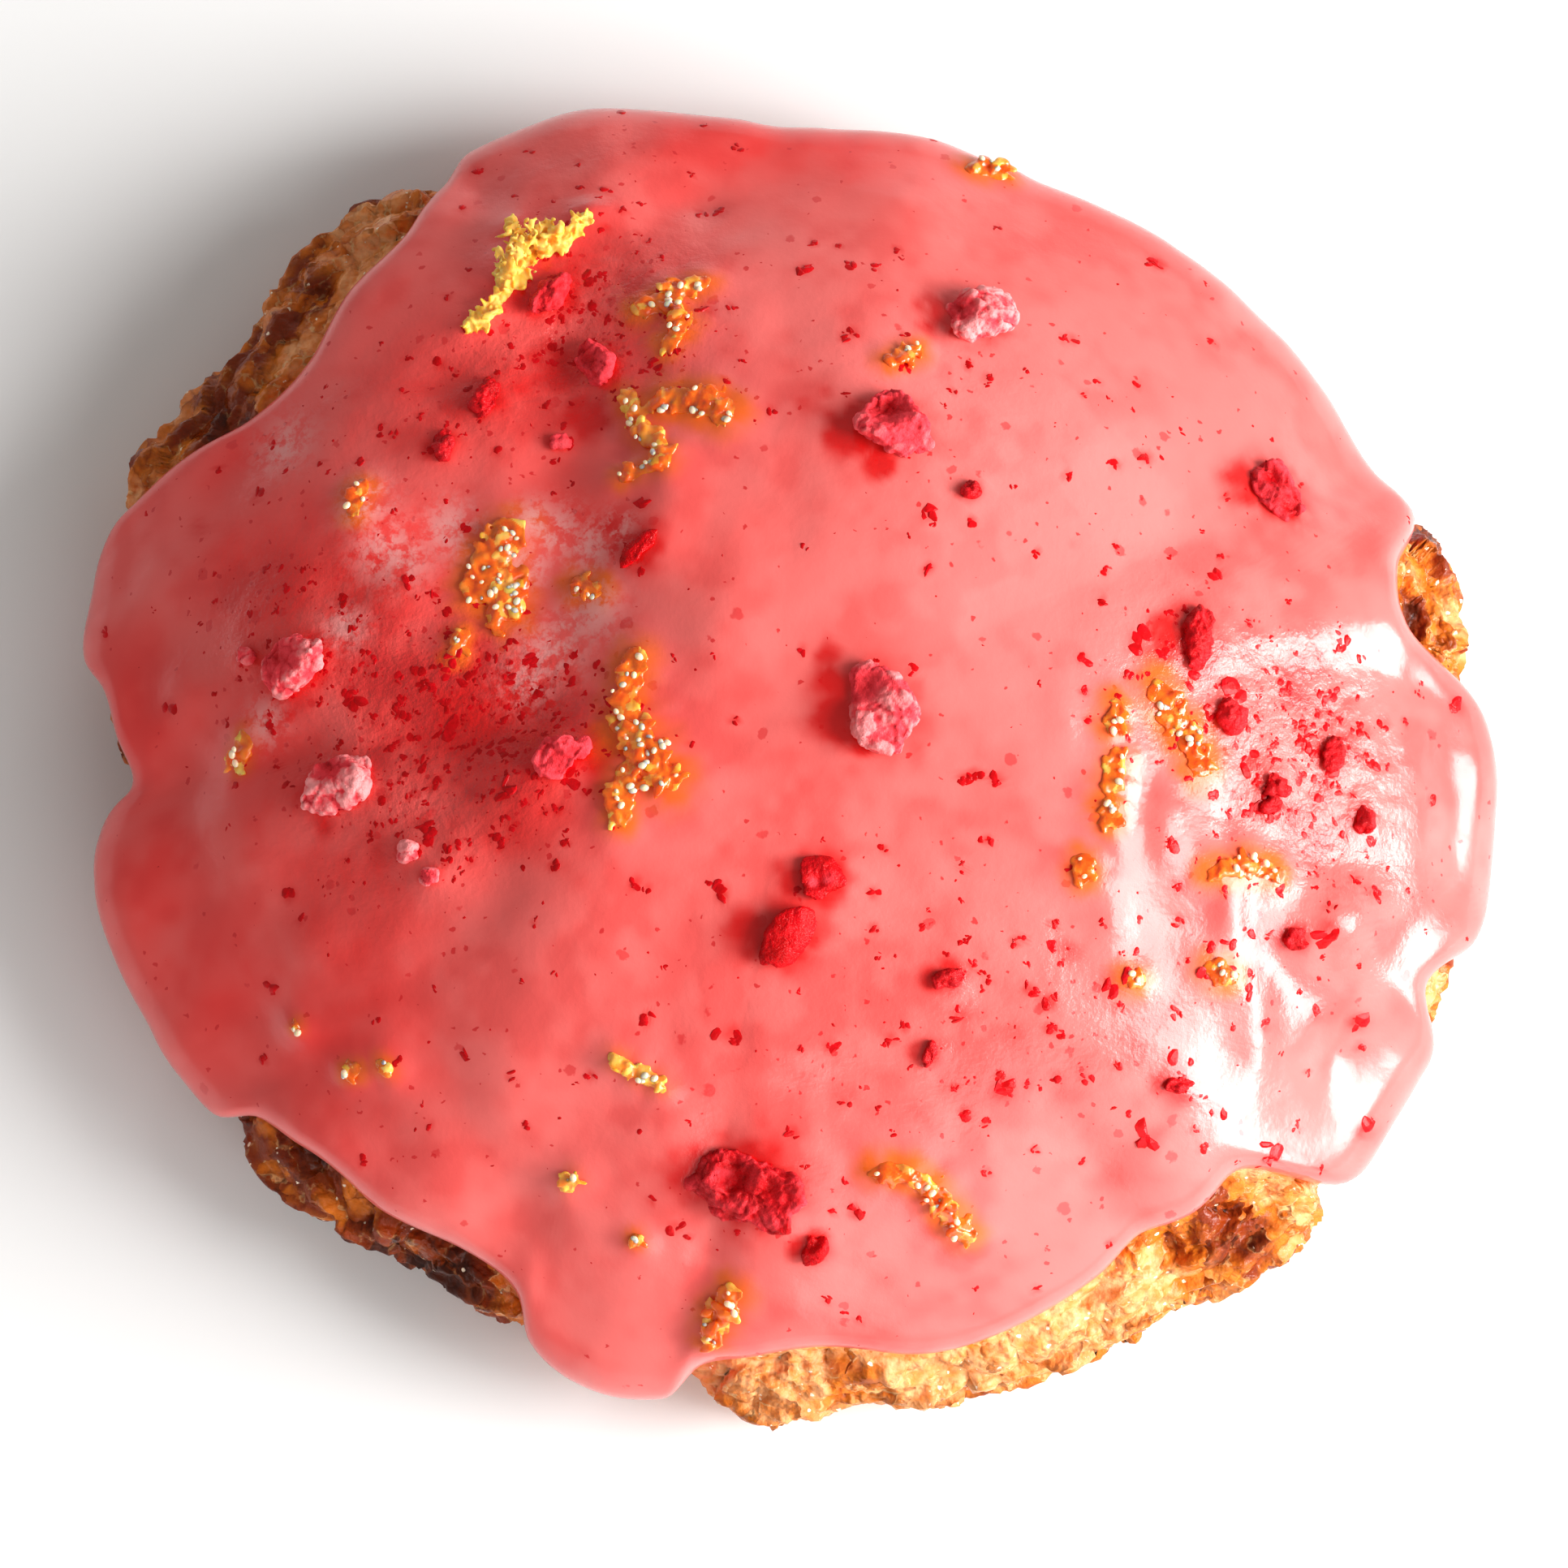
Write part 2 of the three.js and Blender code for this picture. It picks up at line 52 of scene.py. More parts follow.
# The camera of the photograph.
VIEW_SIDE = 1932
VIEW_PIXEL = 0.058  # what one pixel spans at the pie
VIEW_TILT = math.radians(10)
VIEW_DISTANCE = 420
VIEW_MIDDLE = np.array([-0.3, -1.4, 12.0])
SENSOR_WIDTH = 36
VIEW_BACK = np.array([0, -math.sin(VIEW_TILT), math.cos(VIEW_TILT)])
VIEW_UP = np.array([0, math.cos(VIEW_TILT), math.sin(VIEW_TILT)])
VIEW_EYE = VIEW_MIDDLE + VIEW_DISTANCE * VIEW_BACK

# Windows: azimuth and elevation in degrees, distance, width and height in metres, and brightness.
WINDOWS = {
    "window_low": (-9, 21, 0.6, (0.38, 0.17), 25.5),
    "window_high": (-9, 40, 0.6, (0.26, 0.18), 14),
    "side_window": (-52, 30, 0.8, (1.0, 0.5), 2.4),
}

# How bright the room's walls and its ceiling are.
ROOM_LIGHT = (0.5, 0.32)

# How finely the meshes are divided, round the pie and along each column: the crust under the icing,
# bare and over its base, and the icing over the top and round its lip.
CRUST_COLUMNS = 900
CRUST_RINGS = (13, 72, 22)
ICING_COLUMNS = 640
ICING_RINGS = (96, 18)

# Crust, in the form of the solids.
WIDEST_HEIGHT = 7
BRIM_RISE = 5.2
MOUND_RISE = 13.6
MOUND_REACH = 0.97
BRIM_POWER = 10
MOUND_BEND = 3
MOUND_POWER = 1.5
FOOT_INSET = 4.5
RIM = [
    (0, 48.9), (8, 48.6), (14, 49.9), (20, 49.2), (27, 46), (40, 46.2), (55, 46.2), (70, 45.7), (78, 46.8),
    (90, 46), (98, 47.2), (107, 49.5), (118, 50), (124, 52.2), (132, 52.8), (140, 51.6), (148, 51.4),
    (155, 52.2), (162, 50.8), (170, 49.6), (176, 48.8), (182, 46.8), (188, 48.3), (200, 47.4), (212, 46.2),
    (218, 46.8), (226, 46.2), (236, 44.1), (244, 43.4), (254, 44), (261, 43.4), (267, 45.4), (278, 45.8),
    (288, 46.6), (300, 47), (306, 47), (312, 49.4), (318, 49), (325, 47.8), (334, 48), (342, 50), (350, 49),
]
SWELLS = [
    (-19, 9, 8.5, -2.8), (-15, 26, 7.5, -2.2), (-9, 39, 6.5, -1.2), (-31, 18, 8, 0.9), (-11, -12, 10, 1.2),
    (8, 4, 13, 1), (39, -21, 7, 1.1), (39, -11.5, 2.2, 0.9),
]
CRAGS = [(5.5, 1.0), (2.6, 0.22)]
LAYER_HEIGHT = 2.3
LAYER_WAVE = (9, 1.5, 3.0)  # size, rise, and the level of the noise
LEDGE_DEPTH = 0.65
LEDGE_TURN = 0.8
FOOT_FADE = 2
BARE_FADE = 1.8

# Finer relief of the crust, by size and depth: thin flakes that break off square, how they are warped,
# the creases between them, and crumbs.
FLAKES = [(3.2, 0.7), (1.4, 0.26)]
FLAKE_WARP = (1.7, 0.5)
CREASES = (0.08, 0.35)
CRUMBS = [(0.8, 0.06)]

# How far the bare crust runs in under the icing's edge.
BARE_OVERLAP = 0.7

# Shallow dents in its underside: size and depth.
BASE_DENTS = (3.5, 0.35)

# How dark the crust is baked: angle, and 0 for pale gold to 1 for dark brown.
BAKE = [
    (10, 0.1), (30, 0.3), (90, 0.45), (120, 0.55), (150, 0.6), (180, 0.65), (205, 0.85), (235, 1),
    (248, 0.5), (262, 0.04), (300, 0.08), (308, 0.25), (313, 0.6), (318, 0.22), (335, 0.4), (345, 0.8),
]

# How its darkness varies over the bare crust and over the base: size and share of the patches.
BARE_PATCHES = [(5, 0.9), (1.9, 0.4)]
BASE_PATCHES = [(8, 0.5), (2.5, 0.4)]

# Icing, in the form of the solids.
ICING_THICKNESS = 1.7
ICING_UNEVEN = (9, 0.22)
EDGE_BEAD = (3, 2.4, 0.25)
LIP_WIDTH = 2.2
SEAT_GAP = 0.3
ICING_EDGE = [
    (-8, 2.5), (3, 1.5), (8, -2), (13, -7.5), (18, -6.5), (22, -1), (30, 2), (48, 2.5), (63, 1.5), (78, 3),
    (92, 1.5), (106, 3), (117, 1), (121, -3.5), (126, -8.2), (133, -9.5), (141, -10.2), (147, -9),
    (152, -6.5), (156, -4), (160, -0.5), (165, 2.3), (170, 1.2), (173, -1.6), (177, -2.4), (181, -2),
    (187, 2), (197, 1.5), (206, 2.2), (211, 0.2), (214, -3.4), (219, -5.8), (223, -6.4), (228, -5.8),
    (238, -5.2), (243, -3.8), (246, -0.5), (252, 2.5), (258, 2), (262, -2.5), (267, -6), (273, -7.2),
    (282, -6), (288, -6.2), (302, -7.8), (314, -10), (318, -8.6), (323, 0), (330, 3), (336, 1.5),
    (341, -4.2), (346, -0.5),
]

# Slow waves in the icing's upper side: size and depth.
WAVES = [(9, 0.28), (4.2, 0.13), (1.9, 0.03)]

# Stronger ones on the left: size, depth, and how far left of the middle they begin and are full.
LEFT_WAVES = (4.6, 0.42, (6, 20))

# How its colour varies: size and share of the clouds.
CLOUDS = [(6, 0.5), (2.2, 0.35), (1.1, 0.25)]

# Single swells and dents in it: pixel, sizes across and along, and rise.
DIMPLES = [
    ((1368, 1118), 1.7, 4, 0.4), ((1515, 1118), 1.2, 3.2, 0.35), ((1547, 1262), 1.6, 4.2, 0.4),
    ((1436, 1010), 1, 3, 0.3), ((1648, 1138), 2.7, 2.3, 0.9), ((1650, 1312), 3.4, 4.2, -0.75),
    ((1790, 1010), 2.2, 5, -0.35), ((1740, 1180), 2.4, 2.4, -0.3), ((1310, 860), 1.4, 3.2, 0.3),
    ((700, 560), 2.4, 3.4, -0.7), ((620, 600), 2.2, 3.6, 0.35), ((545, 470), 3, 2.2, -0.6),
    ((660, 872), 3.4, 2.6, -0.9), ((560, 920), 3.2, 3, -0.6), ((820, 640), 2.4, 5, 0.45),
    ((770, 560), 1.9, 2.6, -0.5), ((690, 450), 2.2, 2.6, -0.6), ((420, 720), 3.4, 2, -0.5),
    ((470, 640), 2.6, 2, 0.35), ((720, 700), 1.8, 2.4, -0.3), ((860, 250), 2.4, 1.5, -0.3),
    ((735, 262), 2.8, 1.3, 0.3), ((900, 760), 3.5, 6, 0.3),
]

# Where it ran down on the right, ripples and grains: middle, radius, depth, and sizes along X, Y and Z.
RUN_DOWNS = [((28.5, -3.5), 9, 0.16, (1.5, 5.5, 5.5)), ((36, 0), 9, 0.09, (0.9, 0.9, 0.9))]

# Its underside: how far in from its edge the rings lie, and how far it stands off the crust.
UNDER_RINGS = (0.3, 1, 2, 3.5, 6, 10, 20, 35, 50)
UNDER_GAP = 0.05

# Raspberry pieces: pixel, length, width and height, turn in degrees, how many bodies melt together, and
# paleness from 0 to 1.
RASPBERRIES = [
    ((1203, 392), (5.5, 4.6, 2.6), 10, 6, 0.9),
    ((1097, 528), (5.9, 4.8, 3.1), -35, 6, 0.6),
    ((1573, 607), (5.8, 3.6, 2), -50, 6, 0.3),
    ((1472, 788), (4.8, 2.5, 1.6), 80, 4, 0.1),
    ((1085, 874), (6.4, 4.8, 3.2), -60, 6, 0.8),
    ((1010, 1083), (3.9, 3.7, 1.3), 20, 2, 0.05),
    ((965, 1150), (5, 3.2, 1.9), 55, 2, 0),
    ((925, 1460), (7.4, 5.2, 2.4), -10, 8, 0.2),
    ((366, 820), (5, 3.9, 2.9), 35, 6, 0.85),
    ((415, 966), (5.4, 4.4, 2.6), 0, 6, 1),
    ((692, 930), (3.8, 2.8, 2.4), 45, 4, 0.5),
    ((736, 448), (3.9, 2.6, 2.5), -65, 4, 0.45),
    ((677, 362), (4.4, 2.1, 2), 62, 4, 0.25),
    ((305, 808), (1.9, 1.3, 1.2), -30, 3, 0.7),
    ((504, 1050), (1.8, 1.4, 1.2), 0, 3, 0.8),
    ((530, 1078), (1.5, 1.3, 1.2), 0, 3, 0.7),
    ((597, 490), (3.2, 1.9, 1.2), 70, 4, 0.1),
    ((545, 548), (2.3, 1.6, 1), 80, 3, 0.1),
    ((790, 672), (3.6, 1.4, 1), 40, 4, 0),
    ((1598, 1155), (2, 1.8, 1.2), 0, 3, 0.1),
    ((1515, 880), (2.8, 2.2, 1.4), 90, 4, 0.1),
    ((1642, 930), (2.8, 2, 1.4), 70, 4, 0.1),
    ((1570, 965), (2.2, 1.8, 1.2), 0, 3, 0.1),
    ((1682, 1010), (2.2, 1.8, 1.2), 70, 3, 0.1),
    ((1566, 996), (1.8, 1.3, 1), 20, 3, 0.1),
    ((1452, 1337), (2.6, 1.3, 1), -10, 3, 0.1),
    ((1168, 1204), (2.4, 1.7, 1.1), 30, 3, 0.1),
    ((1146, 1297), (1.8, 1.1, 1), 90, 3, 0.1),
    ((1004, 1540), (2.4, 1.6, 1), 80, 3, 0),
    ((1197, 604), (1.5, 1.4, 1.1), 0, 3, 0.1),
    ((690, 545), (1.5, 1.3, 1.1), 0, 3, 0.5),
]

# Hollows broken into them: pixel, radius and depth.
HOLLOWS = [
    ((344, 812), 1.1, 1), ((402, 944), 1.2, 1.1), ((1096, 505), 1.2, 1.2), ((1062, 850), 1.3, 1.2),
    ((1188, 384), 1, 0.8), ((905, 1452), 1.3, 1), ((948, 1466), 1.1, 0.8), ((1566, 590), 0.8, 0.7),
    ((1586, 628), 0.8, 0.6), ((722, 446), 0.8, 0.9), ((1010, 1086), 0.7, 0.4),
]

# Pale bits in the dark ones, pale dried flesh and painted highlights on a glossy middle and a lit right
# rim:
# pixel and radius.
PALE_BITS_AND_HIGHLIGHTS = [
    ((1002, 1088), 0.35), ((1020, 1084), 0.35), ((888, 1446), 0.8), ((985, 1492), 1), ((1560, 622), 0.6),
]

# Skins of melted bodies: how large their faces are, and how often they are smoothed.
RASPBERRY_SKIN = (0.13, 0)
FILM_SKIN = (0.11, 4)
CURL_SKIN = (0.1, 3)

# The raspberries' relief: size and depth of the crumble and of the shards, and the cracks' width and depth.
RASPBERRY_CRUMBLE = [(1.3, 0.14), (0.5, 0.12), (0.27, 0.08)]
SHARDS = (1.5, 0.14)
CRACKS = (0.07, 0.12)

# The stain round a piece, and a painted crimson shadow to its left, away from the light, as shares of its
# length: radius, and shift and radius.
HALO = 0.62
SIDE_SHADOW = (0.42, 0.46)

# Pieces paler than this are dry. Wet ones are smoother and broken by deeper cuts.
WET_PALENESS = 0.09

# Orange zest: the pixels that each shred runs through, its width and height, and how yellow and dry it is.
ZESTS = [
    ([(690, 296), (655, 300), (636, 326), (626, 346)], 3.2, 2.1, 1),
    ([(686, 298), (706, 288), (722, 264)], 1.5, 1.7, 1),
    ([(638, 296), (631, 280)], 1.2, 1.4, 1),
    ([(628, 346), (612, 380), (592, 398), (574, 403)], 1.4, 1.3, 0.9),
    ([(788, 382), (822, 366), (866, 348)], 2, 0.9, 0.15),
    ([(826, 372), (840, 402), (822, 424)], 2.2, 0.7, 0.1),
    ([(774, 488), (790, 528), (822, 562)], 2, 1.1, 0.35),
    ([(818, 570), (786, 578), (760, 590)], 1.5, 0.8, 0.2),
    ([(812, 492), (868, 494), (902, 512)], 2.8, 1, 0),
    ([(630, 655), (606, 690), (622, 722), (624, 772)], 3.6, 1.3, 0.25),
    ([(596, 690), (584, 735)], 2.4, 0.7, 0),
    ([(622, 706), (612, 732)], 1.6, 1.4, 0.58),
    ([(572, 780), (560, 802)], 1.4, 0.8, 0.2),
    ([(782, 812), (770, 862), (768, 900)], 2.6, 1, 0.1),
    ([(778, 900), (800, 938), (828, 968)], 3.8, 1.5, 0.1),
    ([(772, 950), (762, 1010)], 2.2, 0.9, 0.15),
    ([(712, 722), (735, 728)], 2, 0.6, 0),
    ([(300, 915), (290, 945)], 2, 1.4, 0.35),
    ([(445, 600), (435, 628)], 1.7, 0.9, 0.1),
    ([(1098, 444), (1132, 430)], 1.6, 1.3, 0.1),
    ([(1200, 205), (1242, 214)], 2.1, 1.4, 0.1),
    ([(758, 1304), (784, 1322), (816, 1338)], 1.5, 1, 0.5),
    ([(698, 1460), (712, 1450)], 1.7, 1.4, 0.6),
    ([(903, 1594), (885, 1622), (873, 1655)], 2.3, 1.2, 0.1),
    ([(1080, 1442), (1120, 1448), (1150, 1470), (1172, 1500), (1194, 1526)], 2, 1.3, 0.15),
    ([(1376, 868), (1370, 905)], 1.7, 0.9, 0.1),
    ([(1378, 935), (1372, 965)], 2.2, 0.9, 0.25),
    ([(1368, 990), (1364, 1012)], 2, 0.9, 0.05),
    ([(1428, 852), (1462, 900), (1482, 944)], 2.8, 1, 0.05),
    ([(1336, 1060), (1334, 1084)], 1.6, 1.2, 0.1),
    ([(1498, 1074), (1540, 1064), (1572, 1078)], 1.8, 1.1, 0),
    ([(1394, 1206), (1404, 1208)], 1.7, 1.1, 0.2),
    ([(1494, 1196), (1516, 1202)], 2, 1.1, 0.1),
    ([(428, 1322), (442, 1318)], 1.3, 0.9, 0.3),
    ([(470, 1312), (480, 1318)], 1.3, 0.9, 0.3),
    ([(783, 1528), (788, 1532)], 1.2, 0.9, 0.3),
    ([(364, 1266), (368, 1268)], 0.9, 0.8, 0.3),
]

# Wet and dry zest: how thick a strip is, a scrap's span and least size, and scraps to a square millimetre.
WET_ZEST = (0.44, (1.2, 0.7, 0.3), 0.6, 3)
DRY_ZEST = (0.8, (1.2, 0.6, 0.24), 0.5, 6)
DRY_FROM = 0.6  # from what dryness a shred is a dry one

# Its relief: size and depth.
ZEST_RELIEF = [(1.1, 0.07), (0.45, 0.05)]

# Where the raspberry powder lies thick: pixel, radius, share of the crumbs, and their usual size.
POWDER_PATCHES = [
    ((500, 870), 7, 24, 0.33), ((330, 760), 6, 12, 0.35), ((650, 890), 5, 14, 0.4),
    ((740, 400), 6, 20, 0.38), ((600, 470), 6, 8, 0.38), ((410, 540), 8, 7, 0.35),
    ((450, 1040), 7, 10, 0.3), ((560, 940), 6, 12, 0.35), ((1590, 920), 5.5, 24, 0.5),
    ((1650, 1060), 6, 8, 0.4), ((1450, 820), 6, 8, 0.35), ((1150, 470), 9, 6, 0.4),
    ((1180, 1240), 9, 8, 0.45), ((960, 1200), 13, 7, 0.38), ((1440, 1250), 9, 8, 0.5),
    ((470, 1420), 8, 2, 0.4), ((900, 1480), 13, 5, 0.38), ((1350, 620), 13, 6, 0.38),
    ((720, 230), 8, 4, 0.4), ((966, 940), 42, 34, 0.35),
]

# How many crumbs fall, below what size one is a single grain, and above what size it stains the icing.
CRUMB_COUNT = 1720
SMALL_CRUMB = 0.4
STAINING_CRUMB = 0.5

# Where the icing is coloured deeper red: wide tints by pixel and radius, painted shade over the left flank
# and along the top edge with raspberry colouring in it, and deep stains with a strength too.
SHADE_TINTS = [
    ((660, 330), 7), ((560, 470), 10), ((330, 690), 11), ((560, 870), 11), ((320, 950), 9),
    ((430, 1110), 8), ((700, 620), 6), ((760, 440), 6), ((280, 1200), 8), ((180, 880), 9), ((950, 182), 6),
    ((190, 1060), 9), ((300, 570), 8), ((420, 1280), 8), ((450, 700), 9), ((860, 165), 6), ((960, 176), 7),
    ((1040, 190), 6), ((620, 960), 8),
]
# The deep stains: raspberry stains, and painted crimson shadow to the left of raspberry pieces and in
# hollows.
STAINS_AND_SHADOWS = [
    ((690, 455), 2.6, 1), ((600, 890), 5, 0.7), ((660, 880), 3.5, 0.8), ((340, 740), 4, 0.4),
    ((480, 1060), 4, 0.5), ((790, 500), 3, 0.7), ((738, 925), 2.6, 0.9), ((700, 340), 3, 0.6),
    ((760, 650), 2, 0.7), ((1008, 500), 3, 0.5), ((1034, 522), 1.6, 1), ((1056, 548), 1.6, 1),
    ((1082, 570), 1.5, 1), ((1020, 805), 1.2, 0.9), ((1032, 848), 1.9, 1), ((1040, 882), 1.9, 1),
    ((1062, 915), 1.2, 0.9), ((1430, 790), 2.6, 0.6), ((1542, 600), 2, 0.9), ((720, 518), 2.4, 1),
    ((640, 470), 2, 0.6), ((560, 500), 1.6, 0.6), ((1450, 785), 1.6, 0.9), ((1160, 398), 1.5, 0.9),
    ((655, 912), 2, 1), ((360, 868), 1.6, 0.8), ((400, 1010), 1.8, 0.7), ((245, 650), 1.4, 0.6),
    ((620, 1020), 2.6, 0.4), ((850, 1455), 1.8, 0.6), ((940, 1125), 1.6, 0.6), ((820, 372), 1.6, 0.7),
    ((380, 640), 2.2, 0.4),
]

# Where a broad sheen is painted on the icing as a paler colour: pixel and radius.
PAINTED_SHEENS = [((1290, 600), 12), ((1220, 720), 9), ((1180, 480), 6)]

# Where a whitish reflection is painted on the icing in wrinkled patches: pixel and radius.
WRINKLE_SHEENS = [
    ((476, 680), 2.4), ((556, 652), 2), ((686, 655), 2), ((728, 672), 2), ((650, 698), 1.5),
    ((730, 756), 2.2), ((684, 800), 2.4), ((652, 838), 2), ((425, 772), 1.6), ((352, 548), 2.2),
    ((452, 618), 2), ((328, 890), 1.6), ((760, 650), 1.4), ((700, 770), 1.6), ((660, 640), 1.6),
    ((500, 690), 1.8),
]


# Noise and curves.


def lattice_noise(i, j, k):
    """Noise between -1 and 1 at whole-numbered points."""
    value = np.sin(i * 127.1 + j * 311.7 + k * 74.7) * 43758.5453
    return 2 * (value - np.floor(value)) - 1


def smooth_noise(points):
    """Smooth noise between -1 and 1 whose lumps are about one unit across."""
    cell = np.floor(points)
    part = points - cell
    u, v, w = np.moveaxis(part * part * (3 - 2 * part), -1, 0)
    i, j, k = np.moveaxis(cell, -1, 0)

    def row(b, c):
        start, end = lattice_noise(i, j + b, k + c), lattice_noise(i + 1, j + b, k + c)
        return start + (end - start) * u

    near = row(0, 0) + (row(1, 0) - row(0, 0)) * v
    far = row(0, 1) + (row(1, 1) - row(0, 1)) * v
    return near + (far - near) * w


def plate_noise(points):
    """Broken plates about one unit across: height, distance from a break, and a random number."""
    cell = np.floor(points)
    nearest = np.full(points.shape[:-1], 9.0)
    second = nearest.copy()
    offset = np.zeros_like(points)
    chosen = np.zeros_like(points)
    for shift in np.ndindex(3, 3, 3):
        here = cell + np.array(shift) - 1
        i, j, k = np.moveaxis(here, -1, 0)
        jitter = np.stack([lattice_noise(i, j, k + step) for step in (0.17, 0.43, 0.71)], axis=-1)
        away = points - here - 0.5 - 0.42 * jitter
        distance = np.linalg.norm(away, axis=-1)
        closer = distance < nearest
        second = np.where(closer, nearest, np.minimum(second, distance))
        nearest = np.where(closer, distance, nearest)
        offset[closer] = away[closer]
        chosen[closer] = here[closer]
    i, j, k = np.moveaxis(chosen, -1, 0)
    tilt = np.stack([lattice_noise(i + step, j, k) for step in (0.31, 0.57, 0.83)], axis=-1)
    lift = lattice_noise(i, j + 0.61, k)
    height = np.clip(0.6 * lift + 1.1 * np.sum(tilt * offset, axis=-1), -0.75, 0.75)
    return height, second - nearest, lift


def noise_layers(points, layers, shift=0):
    """Smooth noise of several sizes and depths, read at a shifted place and added up."""
    return sum(depth * smooth_noise(points / size + shift) for size, depth in layers)


def bell(points, middle, radius):
    """1 at a middle, fading to 0 outward."""
    return np.exp(-np.sum((points - middle) ** 2, axis=-1) / radius**2)


def smoothstep(value, low, high):
    t = np.clip((value - low) / (high - low), 0, 1)
    return t * t * (3 - 2 * t)


def closed_curve(knots):
    """A smooth closed curve through (angle in degrees, value) knots, as a function of angles in radians."""
    degrees, values = np.array(knots, dtype=float).T
    starts = degrees - degrees[0]
    gaps = np.diff(np.append(starts, 360))
    slopes = (np.roll(values, -1) - np.roll(values, 1)) / (gaps + np.roll(gaps, 1))

    def value_at(angles):
        offset = (np.degrees(angles) - degrees[0]) % 360
        k = np.searchsorted(starts, offset, side="right") - 1
        following = (k + 1) % len(values)
        t = (offset - starts[k]) / gaps[k]
        bow = t * (1 - t) * gaps[k]
        return (
            values[k] * (1 + 2 * t) * (1 - t) ** 2
            + values[following] * (3 - 2 * t) * t**2
            + bow * (slopes[k] * (1 - t) - slopes[following] * t)
        )

    return value_at


rim_radius = closed_curve(RIM)
icing_reach = closed_curve(ICING_EDGE)
bake_at = closed_curve(BAKE)

# The smooth body of the pie.

PROFILE_SHARES = 1 - (1 - np.linspace(0, 1, 161)) ** 3
FOOT_TURNS = np.linspace(0, math.pi / 2, 41)[1:]


def dome_height(share):
    """Height of the smooth crust at a share of the way from the middle out to the rim."""
    brim = BRIM_RISE * np.sqrt(np.clip(1 - share**BRIM_POWER, 0, None))
    mound = MOUND_RISE * np.clip(1 - (share / MOUND_REACH) ** MOUND_BEND, 0, None) ** MOUND_POWER
    return WIDEST_HEIGHT + brim + mound


def swell_height(x, y):
    places = np.stack([x, y], axis=-1)
    return sum(rise * bell(places, (cx, cy), radius) for cx, cy, radius, rise in SWELLS)


PROFILE_HEIGHTS = np.append(dome_height(PROFILE_SHARES), WIDEST_HEIGHT * (1 - np.sin(FOOT_TURNS)))


def profile_radii(angles):
    """One row for each angle: how far out the profile lies, from the middle of the top to the foot."""
    rims = rim_radius(angles)[:, None]
    return np.hstack([rims * PROFILE_SHARES, rims - FOOT_INSET * (1 - np.cos(FOOT_TURNS))])


def profile_lengths(angles):
    """One row for each angle: how far along the profile those points lie."""
    steps = np.hypot(np.diff(profile_radii(angles), axis=1), np.diff(PROFILE_HEIGHTS))
    return np.hstack([np.zeros((len(angles), 1)), np.cumsum(steps, axis=1)])


def crust_points(angles, distances):
    """Points of the smooth crust, distances along the profile at angles."""
    radii, lengths = profile_radii(angles), profile_lengths(angles)
    radius = np.array([np.interp(*row) for row in zip(distances, lengths, radii)])
    height = np.array([np.interp(row, along, PROFILE_HEIGHTS) for row, along in zip(distances, lengths)])
    x, y = radius * np.cos(angles)[:, None], radius * np.sin(angles)[:, None]
    widest = lengths[:, len(PROFILE_SHARES) - 1, None]
    upper = np.where(distances < widest, 1 - (radius / rim_radius(angles)[:, None]) ** 6, 0)
    return np.stack([x, y, height + upper * swell_height(x, y)], axis=-1)


def crust_normals(angles, distances):
    """The outward direction of the smooth crust there."""
    step, turn = 0.3, 0.01
    along = crust_points(angles, distances + step) - crust_points(angles, distances - step)
    ahead = crust_points(angles + turn, distances) - crust_points(angles - turn, distances)
    normals = np.cross(along, ahead)
    normals /= np.maximum(np.linalg.norm(normals, axis=-1, keepdims=True), 1e-9)
    normals[distances < step] = (0, 0, 1)
    return normals


def column_angles(count):
    return np.arange(count) * (2 * math.pi / count)


def icing_edges(angles):
    """How far along the profile the icing's edge and the foot lie, as two columns."""
    lengths = profile_lengths(angles)
    edge = lengths[:, len(PROFILE_SHARES) - 1] + icing_reach(angles)
    return edge[:, None], lengths[:, -1:]


# Meshes.


def piece_from(name, vertices, faces, material, replaced, attributes=None, smooth=True):
    """A piece of the pie from points in millimetres. It rides on the one body and stands for a CAD node."""
    mesh = bpy.data.meshes.new(name)
    mesh.from_pydata((np.asarray(vertices) * MM).tolist(), [], faces)
    for key, values in (attributes or {}).items():
        layer = mesh.attributes.new(key, "FLOAT", "POINT")
        layer.data.foreach_set("value", np.asarray(values, dtype=np.float32))
    mesh.materials.append(material)
    if smooth:
        mesh.shade_smooth()
    else:
        mesh.shade_flat()
    piece = bpy.data.objects.new(name, mesh)
    bpy.context.collection.objects.link(piece)
    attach(piece, "root")
    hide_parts(replaced)
    return piece


def column_grid(columns, first, last):
    """Vertices and faces of a closed body from columns of points and one point at either end."""
    count, rings = columns.shape[:2]
    vertices = np.vstack([first, columns.reshape(-1, 3), last])
    place = 1 + np.arange(count * rings).reshape(count, rings)
    here, ahead = place, np.roll(place, -1, axis=0)
    quads = np.stack([here[:, :-1], here[:, 1:], ahead[:, 1:], ahead[:, :-1]], axis=-1).reshape(-1, 4)
    top = [(0, int(a), int(b)) for a, b in zip(here[:, 0], ahead[:, 0])]
    bottom = [(int(b), int(a), len(vertices) - 1) for a, b in zip(here[:, -1], ahead[:, -1])]
    return vertices, top + quads.tolist() + bottom


def with_ends(values):
    """A grid's values as one list, the end points taking those of their neighbours."""
    flat = values.reshape(-1)
    return np.concatenate([flat[:1], flat, flat[-1:]])


# Crust.


